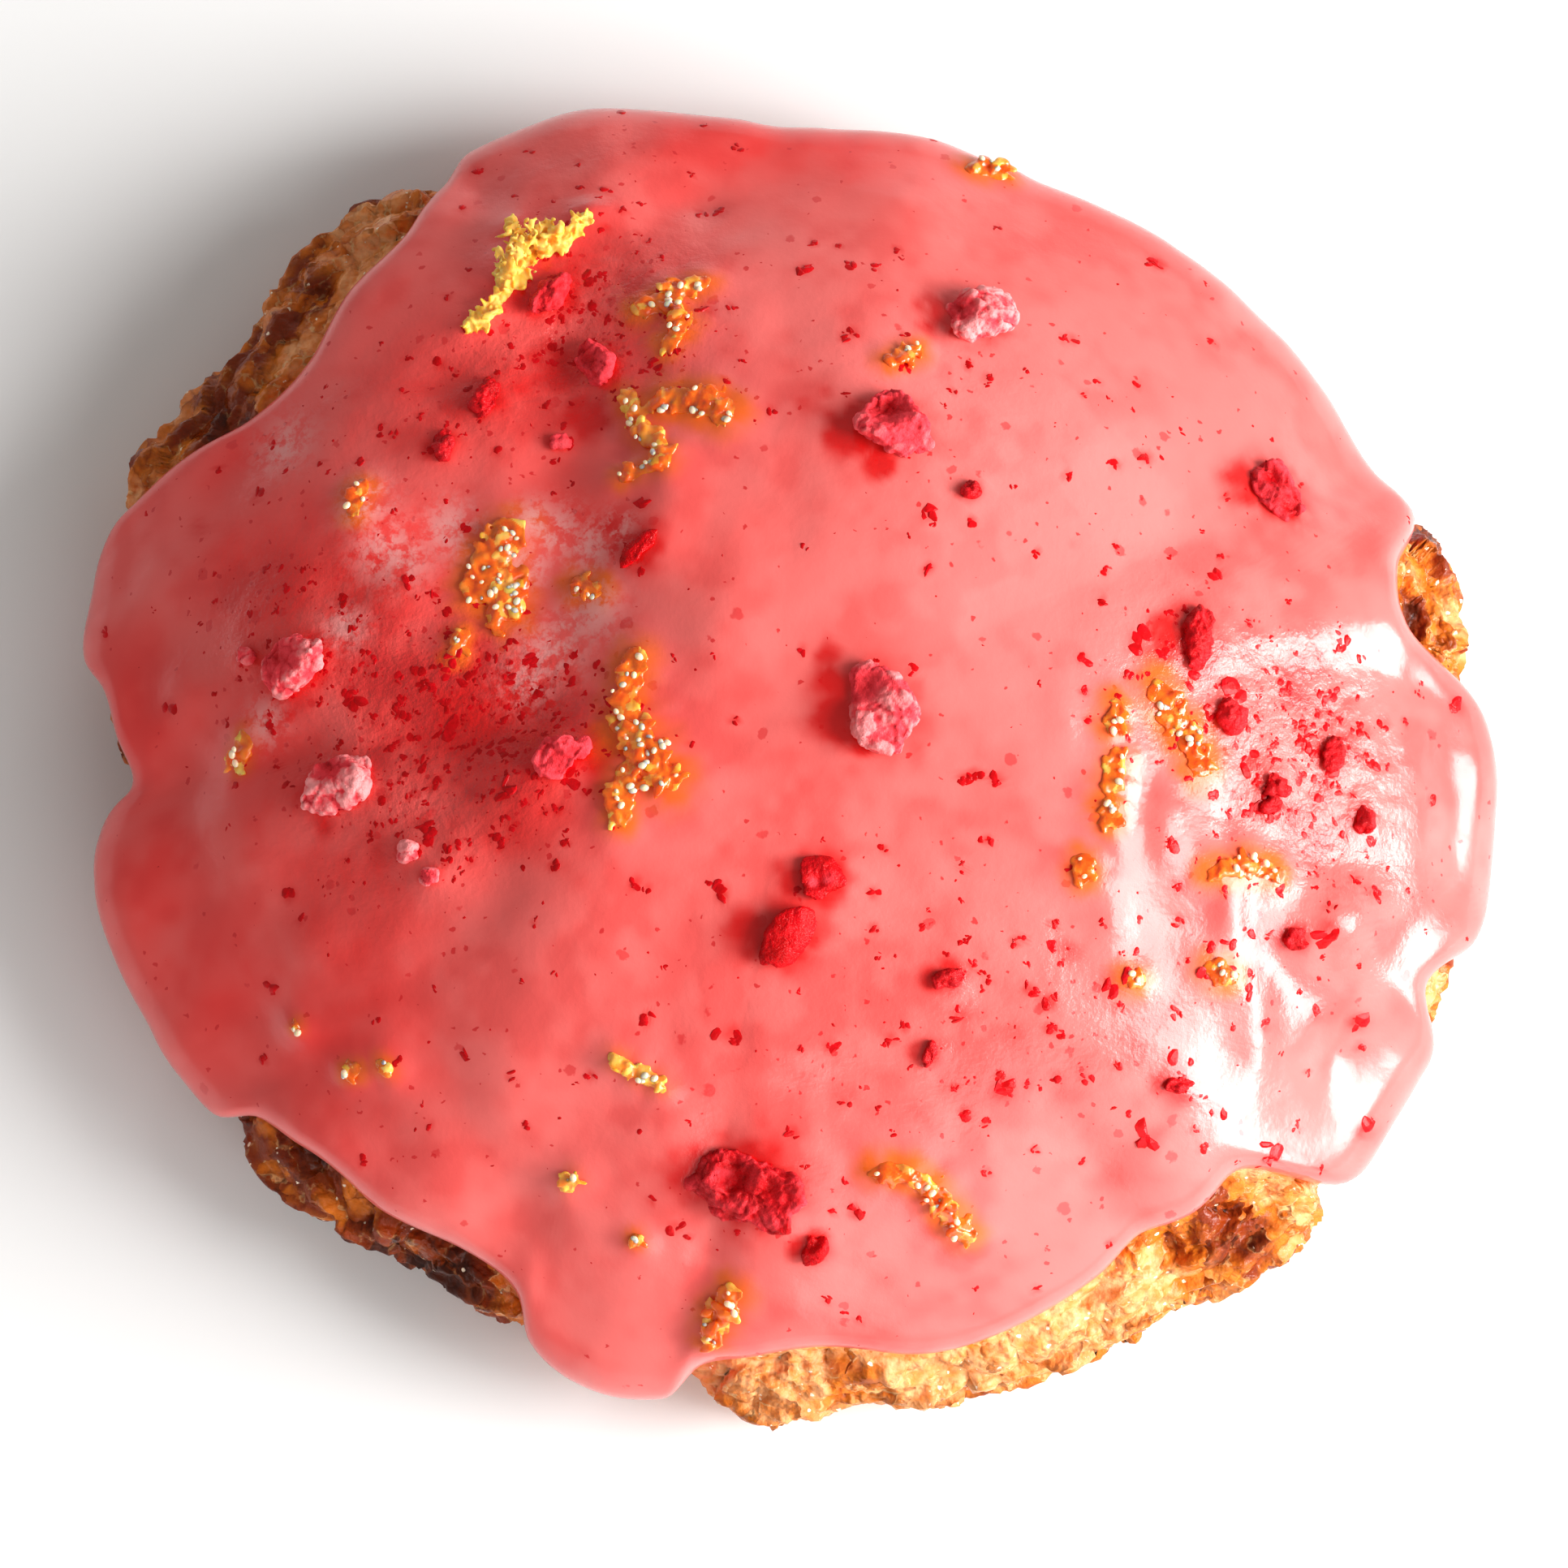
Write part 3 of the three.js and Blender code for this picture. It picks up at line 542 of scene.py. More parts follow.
def crust_relief(points):
    """How far the crags and the flaky layers stand out, as in the solids."""
    wave_size, wave_rise, wave_level = LAYER_WAVE
    x, y, z = np.moveaxis(points, -1, 0)
    flat = np.stack([x / wave_size, y / wave_size, np.full(z.shape, wave_level)], axis=-1)
    layer = (z + wave_rise * smooth_noise(flat)) / LAYER_HEIGHT
    part = layer - np.floor(layer)
    ledge = np.where(part < LEDGE_TURN, part / LEDGE_TURN, (1 - part) / (1 - LEDGE_TURN))
    return noise_layers(points, CRAGS) + LEDGE_DEPTH * (ledge - 0.5)


def make_crust(material):
    """The crust's skin: columns from the middle of its top out to the foot and back under the base."""
    covered_rings, bare_rings, base_rings = CRUST_RINGS
    angles = column_angles(CRUST_COLUMNS)
    edge, foot = icing_edges(angles)
    covered = np.linspace(0.03, 1, covered_rings) * (edge - 1)
    bare = edge - BARE_OVERLAP + np.linspace(0, 1, bare_rings) * (foot - edge + BARE_OVERLAP)
    distances = np.hstack([covered, bare])
    points = crust_points(angles, distances)
    normals = crust_normals(angles, distances)
    fade = smoothstep(distances - edge, 0, BARE_FADE) * smoothstep(points[..., 2], 0, FOOT_FADE)
    warp_size, warp = FLAKE_WARP
    shake = np.stack([smooth_noise(points / warp_size + step) for step in (5, 11, 17)], axis=-1)
    warped = points + warp * shake
    (coarse_size, coarse_depth), (fine_size, fine_depth) = FLAKES
    coarse, coarse_break, coarse_tone = plate_noise(warped / coarse_size)
    fine, _, fine_tone = plate_noise(warped / fine_size + 40)
    crease_width, crease_depth = CREASES
    relief = crust_relief(points) + coarse_depth * coarse + fine_depth * fine
    relief = relief + noise_layers(points, CRUMBS, 9) - crease_depth * np.exp(-coarse_break / crease_width)
    points = points + (fade * relief)[..., None] * normals
    points[..., 2] = np.maximum(points[..., 2], 0)
    base = points[:, -1:, :] * np.linspace(0.98, 0.02, base_rings)[:, None]
    dent_size, dent_depth = BASE_DENTS
    base[..., 2] = 0
    base[..., 2] = dent_depth * np.clip(smooth_noise(base / dent_size + 50), 0, 1)
    columns = np.concatenate([points, base], axis=1)

    darkness = bake_at(angles)[:, None]
    baked = darkness + (1.1 - 0.6 * darkness) * noise_layers(points, BARE_PATCHES, 31)
    # Darker where the relief sinks: painted shade in the recesses.
    baked = baked + 0.2 * coarse_tone + 0.12 * fine_tone + 0.4 * smoothstep(-relief, 0, 1.2)
    baked = np.hstack([baked, 0.6 + noise_layers(base, BASE_PATCHES, 31)])
    top = crust_points(angles[:1], np.zeros((1, 1)))[0]
    vertices, faces = column_grid(columns, top, np.zeros((1, 3)))
    attributes = {"baked": with_ends(baked)}
    piece_from("crust_flakes", vertices, faces, material, "crust", attributes)


# Icing.


def icing_thickness(points, to_edge):
    """Uneven, and a little fuller just before the edge."""
    size, depth = ICING_UNEVEN
    inset, width, rise = EDGE_BEAD
    bead = rise * np.exp(-(((to_edge - inset) / width) ** 2))
    return ICING_THICKNESS + depth * smooth_noise(points / size) + bead


class Glaze:
    """The icing's columns: its upper side out to the edge, then its underside back in."""

    def __init__(self):
        upper_rings, lip_rings = ICING_RINGS
        angles = column_angles(ICING_COLUMNS)
        edge, _ = icing_edges(angles)
        lip = np.cumsum(np.linspace(0.55, 0.08, lip_rings))
        spread = np.linspace(0.012, 1, upper_rings) * (edge - lip[-1])
        upper = np.hstack([spread, edge - lip[-1] + lip])
        points = crust_points(angles, upper)
        self.to_edge = edge - upper
        short_of_full = np.clip(1 - self.to_edge / LIP_WIDTH, 0, 1)
        thickness = icing_thickness(points, self.to_edge) * np.sqrt(1 - short_of_full**2)
        waves = noise_layers(points, WAVES, 3)
        for middle, radius, depth, sizes in RUN_DOWNS:
            waves = waves + depth * bell(points[..., :2], middle, radius) * smooth_noise(points / sizes)
        size, depth, (start, full) = LEFT_WAVES
        waves = waves + depth * smoothstep(-points[..., 0], start, full) * smooth_noise(points / size + 23)
        height = thickness + SEAT_GAP + waves * smoothstep(self.to_edge, 0, 3)
        self.outward = crust_normals(angles, upper)
        self.top = points + height[..., None] * self.outward
        under = edge - np.array(UNDER_RINGS)
        self.bottom = crust_points(angles, under) + UNDER_GAP * crust_normals(angles, under)

    def tree(self):
        """The upper side as a tree for rays."""
        vertices, faces = column_grid(self.top, self.top[:1, 0], self.top[:1, -1])
        return BVHTree.FromPolygons(vertices.tolist(), faces[:-len(self.top)])

    def dimple(self, tree):
        """Single swells and dents."""
        for pixel, across, along, rise in DIMPLES:
            away = (self.top - ray_hit(tree, pixel)[0]) / (across, along, along)
            self.top = self.top + (rise * bell(away, 0, 1))[..., None] * self.outward

    def cling(self, spots):
        """The icing rises where it clings to what lies in it."""
        flat = self.top.reshape(-1, 3)
        rise = spread_of(flat, spots).reshape(self.to_edge.shape) * smoothstep(self.to_edge, 0, 1.5)
        self.top = self.top + rise[..., None] * self.outward


def ray_hit(tree, pixel):
    """Point and outward direction of the icing that shows at a pixel of the photograph, in millimetres."""
    right = (pixel[0] - VIEW_SIDE / 2) * VIEW_PIXEL
    up = (VIEW_SIDE / 2 - pixel[1]) * VIEW_PIXEL
    way = VIEW_MIDDLE + right * np.array([1, 0, 0]) + up * VIEW_UP - VIEW_EYE
    place, normal, _, _ = tree.ray_cast(Vector(VIEW_EYE), Vector(way).normalized())
    return (np.array(place), np.array(normal)) if place else (None, None)


def spots_at(tree, marks):
    """Marks of a pixel, a radius and a strength, or 1 without it, as spots on the icing."""
    return [(ray_hit(tree, pixel)[0], radius, *(strength or [1])) for pixel, radius, *strength in marks]


def spread_of(points, spots):
    """The strongest that each point gets from spots of (place, radius, strength) that fade outward."""
    total = np.zeros(len(points))
    for place, radius, strength in spots:
        near = np.flatnonzero(np.abs(points - place).max(axis=1) < 2.6 * radius)
        total[near] = np.maximum(total[near], strength * bell(points[near], place, radius))
    return total


def make_icing(material, glaze, stains, powder):
    """The icing's skin, with what colours it at each point."""
    middle = np.array([[0, 0, glaze.top[:, 0, 2].mean()]])
    under_middle = np.array([[0, 0, glaze.bottom[:, -1, 2].mean()]])
    vertices, faces = column_grid(np.concatenate([glaze.top, glaze.bottom], axis=1), middle, under_middle)
    # 1 at the lip and over the underside: it paints a pale highlight along the icing's edge.
    lip = np.hstack([np.exp(-((glaze.to_edge / 0.9) ** 2)), np.ones(glaze.bottom.shape[:2])])
    attributes = {name: spread_of(vertices, spots) for name, spots in stains.items()}
    ragged = 1 + 0.45 * smooth_noise(vertices / 0.9 + 17)
    for name in ("berry", "zest"):
        attributes[name] = smoothstep(attributes[name] * ragged, 0.12, 0.85)
    attributes["cloud"] = noise_layers(vertices, CLOUDS, 13)
    attributes["lip"] = with_ends(lip)
    amounts = (2 * share / radius**2 * bell(vertices, place, radius) for place, radius, share in powder)
    attributes["powder"] = np.clip(sum(amounts), 0, 1)
    piece_from("icing_glaze", vertices, faces, material, "icing", attributes)


# Toppings.


def unit_sphere(subdivisions):
    """Vertices and faces of a round ball of diameter 1."""
    ball = bmesh.new()
    bmesh.ops.create_icosphere(ball, subdivisions=subdivisions, radius=0.5)
    vertices = np.array([vertex.co for vertex in ball.verts])
    faces = [[vertex.index for vertex in face.verts] for face in ball.faces]
    ball.free()
    return vertices, faces


def turned(points, normal, angle):
    """Points laid on a surface: +Z along its normal, turned by an angle seen from above."""
    normal = normal / np.linalg.norm(normal)
    ahead = np.array([math.cos(angle), math.sin(angle), 0.0])
    ahead -= normal * (ahead @ normal)
    ahead /= np.linalg.norm(ahead)
    return points @ np.array([ahead, np.cross(normal, ahead), normal])


def chunk_of(ball, cuts, least):
    """A ball of diameter 1 broken by random flat cuts, each at least a share of the radius out."""
    ways = RANDOM.normal(size=(cuts, 3))
    ways /= np.linalg.norm(ways, axis=1, keepdims=True)
    depths = 0.5 * RANDOM.uniform(least, 1, cuts)
    reach = np.maximum(ball @ ways.T, 1e-6)
    return ball * np.minimum(1, depths / reach).min(axis=1)[:, None]


class Lumps:
    """Many small bodies gathered into one list of vertices and faces."""

    def __init__(self):
        self.vertices, self.faces, self.count = [], [], 0

    def add(self, vertices, faces):
        self.vertices.append(vertices)
        self.faces += [[k + self.count for k in face] for face in faces]
        self.count += len(vertices)

    def all_vertices(self):
        return np.vstack(self.vertices)


def remeshed(lumps, voxel, smoothing):
    """The lumps melted into one skin of even faces: its vertices, faces and vertex normals."""
    mesh = bpy.data.meshes.new("melt")
    mesh.from_pydata((lumps.all_vertices() * MM).tolist(), [], lumps.faces)
    melt = bpy.data.objects.new("melt", mesh)
    bpy.context.collection.objects.link(melt)
    modifier = melt.modifiers.new("melt", "REMESH")
    modifier.mode = "VOXEL"
    modifier.voxel_size = voxel * MM
    softened = melt.modifiers.new("softened", "SMOOTH")
    softened.iterations = smoothing
    skin = melt.evaluated_get(bpy.context.evaluated_depsgraph_get()).to_mesh()
    vertices = np.array([vertex.co for vertex in skin.vertices]) / MM
    normals = np.array([vertex.normal for vertex in skin.vertices])
    faces = [list(polygon.vertices) for polygon in skin.polygons]
    bpy.data.objects.remove(melt)
    bpy.data.meshes.remove(mesh)
    return vertices, faces, normals


def nearest_value(points, places, values):
    """For each point the value of the nearest place."""
    tree = KDTree(len(places))
    for n, place in enumerate(places):
        tree.insert(place, n)
    tree.balance()
    return np.array([values[tree.find(point)[1]] for point in points.tolist()])


def cling_spots(tree):
    """Where the icing clings to toppings, before any of them is made."""
    spots = []
    for pixel, (length, width, _), _, _, _ in RASPBERRIES:
        spots.append((ray_hit(tree, pixel)[0], 0.45 * (length + width), 0.3))
    for path, width, _, _ in ZESTS:
        spots += [(ray_hit(tree, pixel)[0], 0.8 + 0.4 * width, 0.4) for pixel in path]
    return spots


def make_raspberries(material, tree):
    """Broken pieces of freeze-dried raspberry: angular chunks melted together and crumbled."""
    lumps, places, tones, spots = Lumps(), [], [], []
    ball, ball_faces = unit_sphere(4)
    for pixel, span, turn, bodies, paleness in RASPBERRIES:
        length, _, height = span
        lift = 0.5 * height - min(0.35 * height, 1.2)
        middle, normal = ray_hit(tree, pixel)
        least, swell = (0.6, 1.08) if paleness > WET_PALENESS else (0.42, 1.18)
        for n in range(bodies):
            share = 1.0 if n == 0 else RANDOM.uniform(0.4, 0.62)
            drift = np.zeros(3) if n == 0 else RANDOM.uniform(-0.5, 0.5, 3) * span * (0.6, 0.6, 0.4)
            shaped = chunk_of(ball, 12, least) * span * share * swell + drift + (0, 0, lift)
            lumps.add(turned(shaped, normal, math.radians(turn)) + middle, ball_faces)
        places.append(middle)
        tones.append(paleness)
        shift, reach = SIDE_SHADOW
        spots.append((middle, HALO * length, 1 - 0.4 * paleness))
        # A painted crimson shadow on the piece's left, away from the light.
        spots.append((middle - (shift * length, 0, 0), reach * length, 1))
    vertices, faces, normals = remeshed(lumps, *RASPBERRY_SKIN)
    shard_size, shard_depth = SHARDS
    shards, breaks, _ = plate_noise(vertices / shard_size)
    relief = noise_layers(vertices, RASPBERRY_CRUMBLE, 3) + shard_depth * shards
    crack_width, crack_depth = CRACKS
    relief = relief - crack_depth * np.exp(-breaks / crack_width)
    pale = nearest_value(vertices, places, tones)
    wet = smoothstep(-pale, -WET_PALENESS, -0.03)
    vertices = vertices + (relief * (1 - 0.65 * wet))[:, None] * normals
    for pixel, radius, depth in HOLLOWS:
        hollow = bell(vertices[:, :2], ray_hit(tree, pixel)[0][:2], radius)
        vertices[:, 2] -= depth * hollow
        # Deeper red in the hollows: painted shade.
        pale = pale * (1 - 0.75 * hollow)
    # Pale bits: dried flesh, and painted highlights.
    for pixel, radius in PALE_BITS_AND_HIGHLIGHTS:
        bit = bell(vertices[:, :2], ray_hit(tree, pixel)[0][:2], radius)
        pale = np.maximum(pale, bit * (0.5 + 0.4 * smooth_noise(vertices / 0.4)))
    attributes = {"pale": pale, "ridge": smoothstep(relief, -0.3, 0.35)}
    piece_from("raspberry_pieces", vertices, faces, material, "icing", attributes)
    return spots


class Strip:
    """Where a strip of zest runs over the icing."""

    def __init__(self, tree, path):
        hits = [ray_hit(tree, pixel) for pixel in path]
        self.knots = np.array([place for place, _ in hits])
        self.normals = np.array([normal for _, normal in hits])
        self.lengths = np.append(0, np.cumsum(np.linalg.norm(np.diff(self.knots, axis=0), axis=1)))
        self.length = self.lengths[-1]

    def at(self, along):
        """The place at a length along it, and the icing's outward direction there."""
        place, normal = (
            np.array([np.interp(along, self.lengths, column) for column in knots.T])
            for knots in (self.knots, self.normals)
        )
        return place, normal / np.linalg.norm(normal)

    def scattered(self, width):
        """A random place on it, the outward direction there, and from 1 in the middle to 0 at the edges."""
        along = RANDOM.uniform(0, self.length)
        place, normal = self.at(along)
        narrow = 1 - 0.45 * abs(2 * along / self.length - 1) ** 3
        drift = RANDOM.uniform(-0.5, 0.5, 2)
        return place + np.append(drift, 0) * width * narrow, normal, 1 - 2 * drift @ drift


def random_turn():
    return RANDOM.uniform(0, 2 * math.pi)


def make_zests(material, tree):
    """Shreds of candied zest: thin wet films with beads of syrup on them, and dry curls that stand up."""
    films, curls, beads = Lumps(), Lumps(), Lumps()
    places, tones, spots = [], [], []
    ball, ball_faces = unit_sphere(3)
    bead, bead_faces = unit_sphere(2)
    for path, width, height, dryness in ZESTS:
        strip = Strip(tree, path)
        area = (strip.length + 0.6 * width) * width
        dry = dryness > DRY_FROM
        lumps = curls if dry else films
        thickness, scrap_span, least, scraps = DRY_ZEST if dry else WET_ZEST
        for along in np.arange(0, strip.length, 0.35 * width):
            place, normal = strip.at(along)
            body = chunk_of(ball, 8, 0.55) * (0.85 * width, 0.7 * width, thickness)
            lumps.add(turned(body, normal, random_turn()) + place - 0.08 * normal, ball_faces)
            places.append(place)
            tones.append(dryness)
            spots.append((place, 0.62 * width + 0.6, 1 - dryness))
        for n in range(max(4, round(scraps * area))):
            place, normal, crown = strip.scattered(width if dry else 0.8 * width)
            scrap = chunk_of(ball, 8, 0.5) * scrap_span * RANDOM.uniform(least, 1.2)
            way = normal
            if dry:
                way = normal + RANDOM.normal(size=3)
                rise = RANDOM.uniform(0.1, 0.9) * crown * (height - 0.5)
            else:
                rise = RANDOM.uniform(-0.06, 0.1) + RANDOM.uniform(0, 0.4) * crown * (height - 0.6)
            lumps.add(turned(scrap, way, random_turn()) + place + rise * normal, ball_faces)
            places.append(place + rise * normal)
            tones.append(dryness + (0.4 if n % 4 == 0 else 0))
        for _ in range(0 if dry else max(2, round(0.6 * area))):
            place, normal, crown = strip.scattered(0.7 * width)
            drop = bead * RANDOM.uniform(0.25, 0.52) * (1.3, 1, 0.8)
            rise = 0.15 + 0.2 * crown * height
            beads.add(turned(drop, normal, random_turn()) + place + rise * normal, bead_faces)
    parts = [remeshed(films, *FILM_SKIN), remeshed(curls, *CURL_SKIN)]
    skins = Lumps()
    for vertices, faces, _ in parts:
        skins.add(vertices, faces)
    vertices, normals = skins.all_vertices(), np.vstack([part[2] for part in parts])
    relief = noise_layers(vertices, ZEST_RELIEF, 7)
    dry = nearest_value(vertices, places, tones)
    relief = relief + 0.1 * smoothstep(dry, DRY_FROM, 0.9) * smooth_noise(vertices / 0.3 + 21)
    skins.vertices = [vertices + relief[:, None] * normals]
    skins.add(beads.all_vertices(), beads.faces)
    grains = len(beads.all_vertices())
    attributes = {
        "dry": np.append(dry, np.zeros(grains)),
        "ridge": np.append(smoothstep(relief, -0.12, 0.1), np.zeros(grains)),
        "bead": np.append(np.zeros(len(dry)), np.ones(grains)),
    }
    piece_from("zest_shreds", skins.all_vertices(), skins.faces, material, "icing", attributes)
    return spots


def make_crumbs(material, tree, powder):
    """Raspberry crumbs, thick where the powder fell."""
    lumps, spots = Lumps(), []
    ball, ball_faces = unit_sphere(2)
    grain, grain_faces = unit_sphere(1)
    shares = np.array([share for _, _, share in powder], dtype=float)
    for _ in range(CRUMB_COUNT):
        pixel, radius, _, usual = POWDER_PATCHES[RANDOM.choice(len(powder), p=shares / shares.sum())]
        target = np.array(pixel) + RANDOM.normal(0, 0.75 * radius / VIEW_PIXEL, 2)
        place, normal = ray_hit(tree, target)
        size = float(np.clip(usual * math.exp(0.5 * RANDOM.normal()), 0.2, 1.6))
        if place is None or place[2] < WIDEST_HEIGHT + 1:
            continue
        small = size < SMALL_CRUMB
        body, body_faces = (grain, grain_faces) if small else (ball, ball_faces)
        for _ in range(1 if small else 3):
            shaped = chunk_of(body, 8, 0.3) * (1.2, RANDOM.uniform(0.5, 1.1), 0.26) * size
            drift = np.append(RANDOM.uniform(-0.45, 0.45, 2), -0.05) * size
            lumps.add(turned(shaped + drift, normal, RANDOM.uniform(0, 6.3)) + place, body_faces)
        if size > STAINING_CRUMB:
            spots.append((place, 0.8 * size, 0.6))
    vertices = lumps.all_vertices()
    attributes = {"pale": np.full(len(vertices), 0.05), "ridge": 0.5 + 0.5 * smooth_noise(vertices / 0.3)}
    faces = lumps.faces
    piece_from("raspberry_crumbs", vertices, faces, material, "icing", attributes, smooth=False)
    return spots


# Materials.


class Look:
    """A material under construction. Its calls add nodes and give back their output."""

    def __init__(self, name):
        self.material = bpy.data.materials.new(name)
        self.material.use_nodes = True
        self.tree = self.material.node_tree
        self.tree.nodes.clear()
        self.place = self.node("TexCoord").outputs["Object"]

    def node(self, kind, settings=None, **inputs):
        node = self.tree.nodes.new("ShaderNode" + kind)
        for key, value in (settings or {}).items():
            setattr(node, key, value)
        for key, value in inputs.items():
            self.plug(node.inputs[key.replace("_", " ")], value)
        return node

    def plug(self, socket, value):
        if isinstance(value, bpy.types.NodeSocket):
            self.tree.links.new(value, socket)
        else:
            socket.default_value = value

    def attribute(self, name):
        return self.node("Attribute", {"attribute_name": name}).outputs["Fac"]

    def noise(self, size, detail=2.0, roughness=0.5, at=None, output="Fac"):
        """Cloudy noise from 0 to 1 with lumps of a size in millimetres."""
        at = at or self.place
        inputs = {"Scale": 1 / (size * MM), "Detail": detail, "Roughness": roughness, "Vector": at}
        return self.node("TexNoise", **inputs).outputs[output]

    def cells(self, size, at=None, **settings):
        return self.node("TexVoronoi", settings, Scale=1 / (size * MM), Vector=at or self.place)

    def specks(self, size, radius, share, at):
        """Scattered specks: of the cells of a size in millimetres, a share holds one of up to a radius."""
        cells = self.cells(size, at)
        chance = self.node("SeparateColor", Color=cells.outputs["Color"]).outputs
        reach = self.scaled(chance[1], 0.65, 0.35)
        away = self.math("DIVIDE", cells.outputs["Distance"], reach)
        inside = self.ramp(away, 0.75 * radius / size, radius / size, 1.0, 0.0)
        return self.times(inside, self.math("LESS_THAN", chance[0], share))

    def math(self, operation, first, second=0.0, third=0.0):
        node = self.node("Math", {"operation": operation})
        for socket, value in zip(node.inputs, (first, second, third)):
            self.plug(socket, value)
        return node.outputs[0]

    def times(self, first, second):
        return self.math("MULTIPLY", first, second)

    def scaled(self, value, factor, offset):
        return self.math("MULTIPLY_ADD", value, factor, offset)

    def ramp(self, value, low, high, start=0.0, end=1.0):
        """A smooth step of a value from one range to another."""
        settings = {"interpolation_type": "SMOOTHSTEP"}
        node = self.node("MapRange", settings, Value=value)
        for key, number in (("From Min", low), ("From Max", high), ("To Min", start), ("To Max", end)):
            self.plug(node.inputs[key], number)
        return node.outputs["Result"]

    def mix(self, share, first, second):
        node = self.node("Mix", {"data_type": "RGBA"})
        self.plug(node.inputs["Factor"], share)
        for socket, colour in ((node.inputs[6], first), (node.inputs[7], second)):
            self.plug(socket, (*colour, 1) if isinstance(colour, tuple) else colour)
        return node.outputs[2]

    def layered(self, colour, *layers):
        """A colour with others laid over it in turn, by a share and in some cases a strength too."""
        for share, *strength, over in layers:
            colour = self.mix(self.times(share, *strength) if strength else share, colour, over)
        return colour

    def vector(self, operation, first, second):
        node = self.node("VectorMath", {"operation": operation})
        self.plug(node.inputs[0], first)
        self.plug(node.inputs[1], second)
        return node.outputs["Value" if operation == "DOT_PRODUCT" else "Vector"]

    def warped(self, size, amount):
        """The place shaken by noise, so that patterns on it lose their even shapes."""
        shake = self.vector("SUBTRACT", self.noise(size, output="Color"), (0.5, 0.5, 0.5))
        return self.vector("ADD", self.vector("MULTIPLY", shake, (amount * MM,) * 3), self.place)

    def facets(self, size, at):
        """Broken flat faces of a size in millimetres: how high they stand, and two random numbers."""
        cells = self.cells(size, at)
        away = self.vector("SUBTRACT", at, cells.outputs["Position"])
        lean = self.vector("SUBTRACT", cells.outputs["Color"], (0.5, 0.5, 0.5))
        height = self.times(self.vector("DOT_PRODUCT", away, lean), 1 / MM)
        chance = self.node("SeparateColor", Color=cells.outputs["Color"]).outputs
        return height, chance[0], chance[1]

    def bump(self, height, depth):
        """Relief of a depth in millimetres."""
        return self.node("Bump", Height=height, Distance=depth * MM).outputs[0]

    def finish(self, **inputs):
        shader = self.node("BsdfPrincipled", **inputs)
        self.node("OutputMaterial", Surface=shader.outputs[0])
        return self.material


def icing_look():
    look = Look("berry_icing")
    powder, cloud = look.attribute("powder"), look.attribute("cloud")
    speckled = look.scaled(powder, 0.7, 0.08)
    ragged = look.warped(0.5, 0.6)
    wrinkles = look.ramp(look.noise(1.1, 3, 0.7, ragged), 0.38, 0.6)
    colour = look.layered(
        look.mix(look.ramp(cloud, -0.4, 0.4), (0.89, 0.155, 0.142), (0.85, 0.11, 0.1)),
        # Painted sheen: a paler patch standing in for broad reflected light.
        (look.attribute("painted_sheen"), (0.93, 0.205, 0.19)),
        # Shade tint: painted shade over the left flank and the top edge, with raspberry colouring.
        (look.attribute("shade_tint"), look.ramp(cloud, -0.6, 0.5, 0.72, 1.0), (0.82, 0.03, 0.026)),
        (look.ramp(cloud, 0.05, 0.4), look.scaled(powder, 0.7, 0.12), (0.62, 0.022, 0.022)),
        (look.specks(1.9, 0.6, speckled, ragged), 0.6, (0.66, 0.012, 0.016)),
        (look.specks(0.75, 0.24, speckled, ragged), 0.8, (0.62, 0.008, 0.012)),
        # Raspberry stains, and painted crimson shadow to the left of the pieces and in hollows.
        (look.attribute("berry"), 0.95, (0.7, 0.003, 0.003)),
        (look.attribute("zest"), 0.92, (0.8, 0.12, 0.004)),
        # Painted highlight: paler along the lip.
        (look.attribute("lip"), 0.3, (0.93, 0.3, 0.28)),
        # Painted reflection: whitish, in wrinkled patches.
        (look.times(look.attribute("wrinkle_sheen"), wrinkles), 0.7, (0.82, 0.38, 0.36)),
    )
    rough = look.bump(look.times(look.noise(1.0, 4, 0.62), look.scaled(powder, 0.95, 0.06)), 0.28)
    return look.finish(
        Base_Color=colour,
        Roughness=look.scaled(powder, 0.1, 0.46),
        IOR=1.5,
        Specular_IOR_Level=0.05,
        Coat_Weight=1.0,
        Coat_Roughness=0.17,
        Coat_IOR=1.4,
        Coat_Normal=rough,
        Normal=rough,
    )


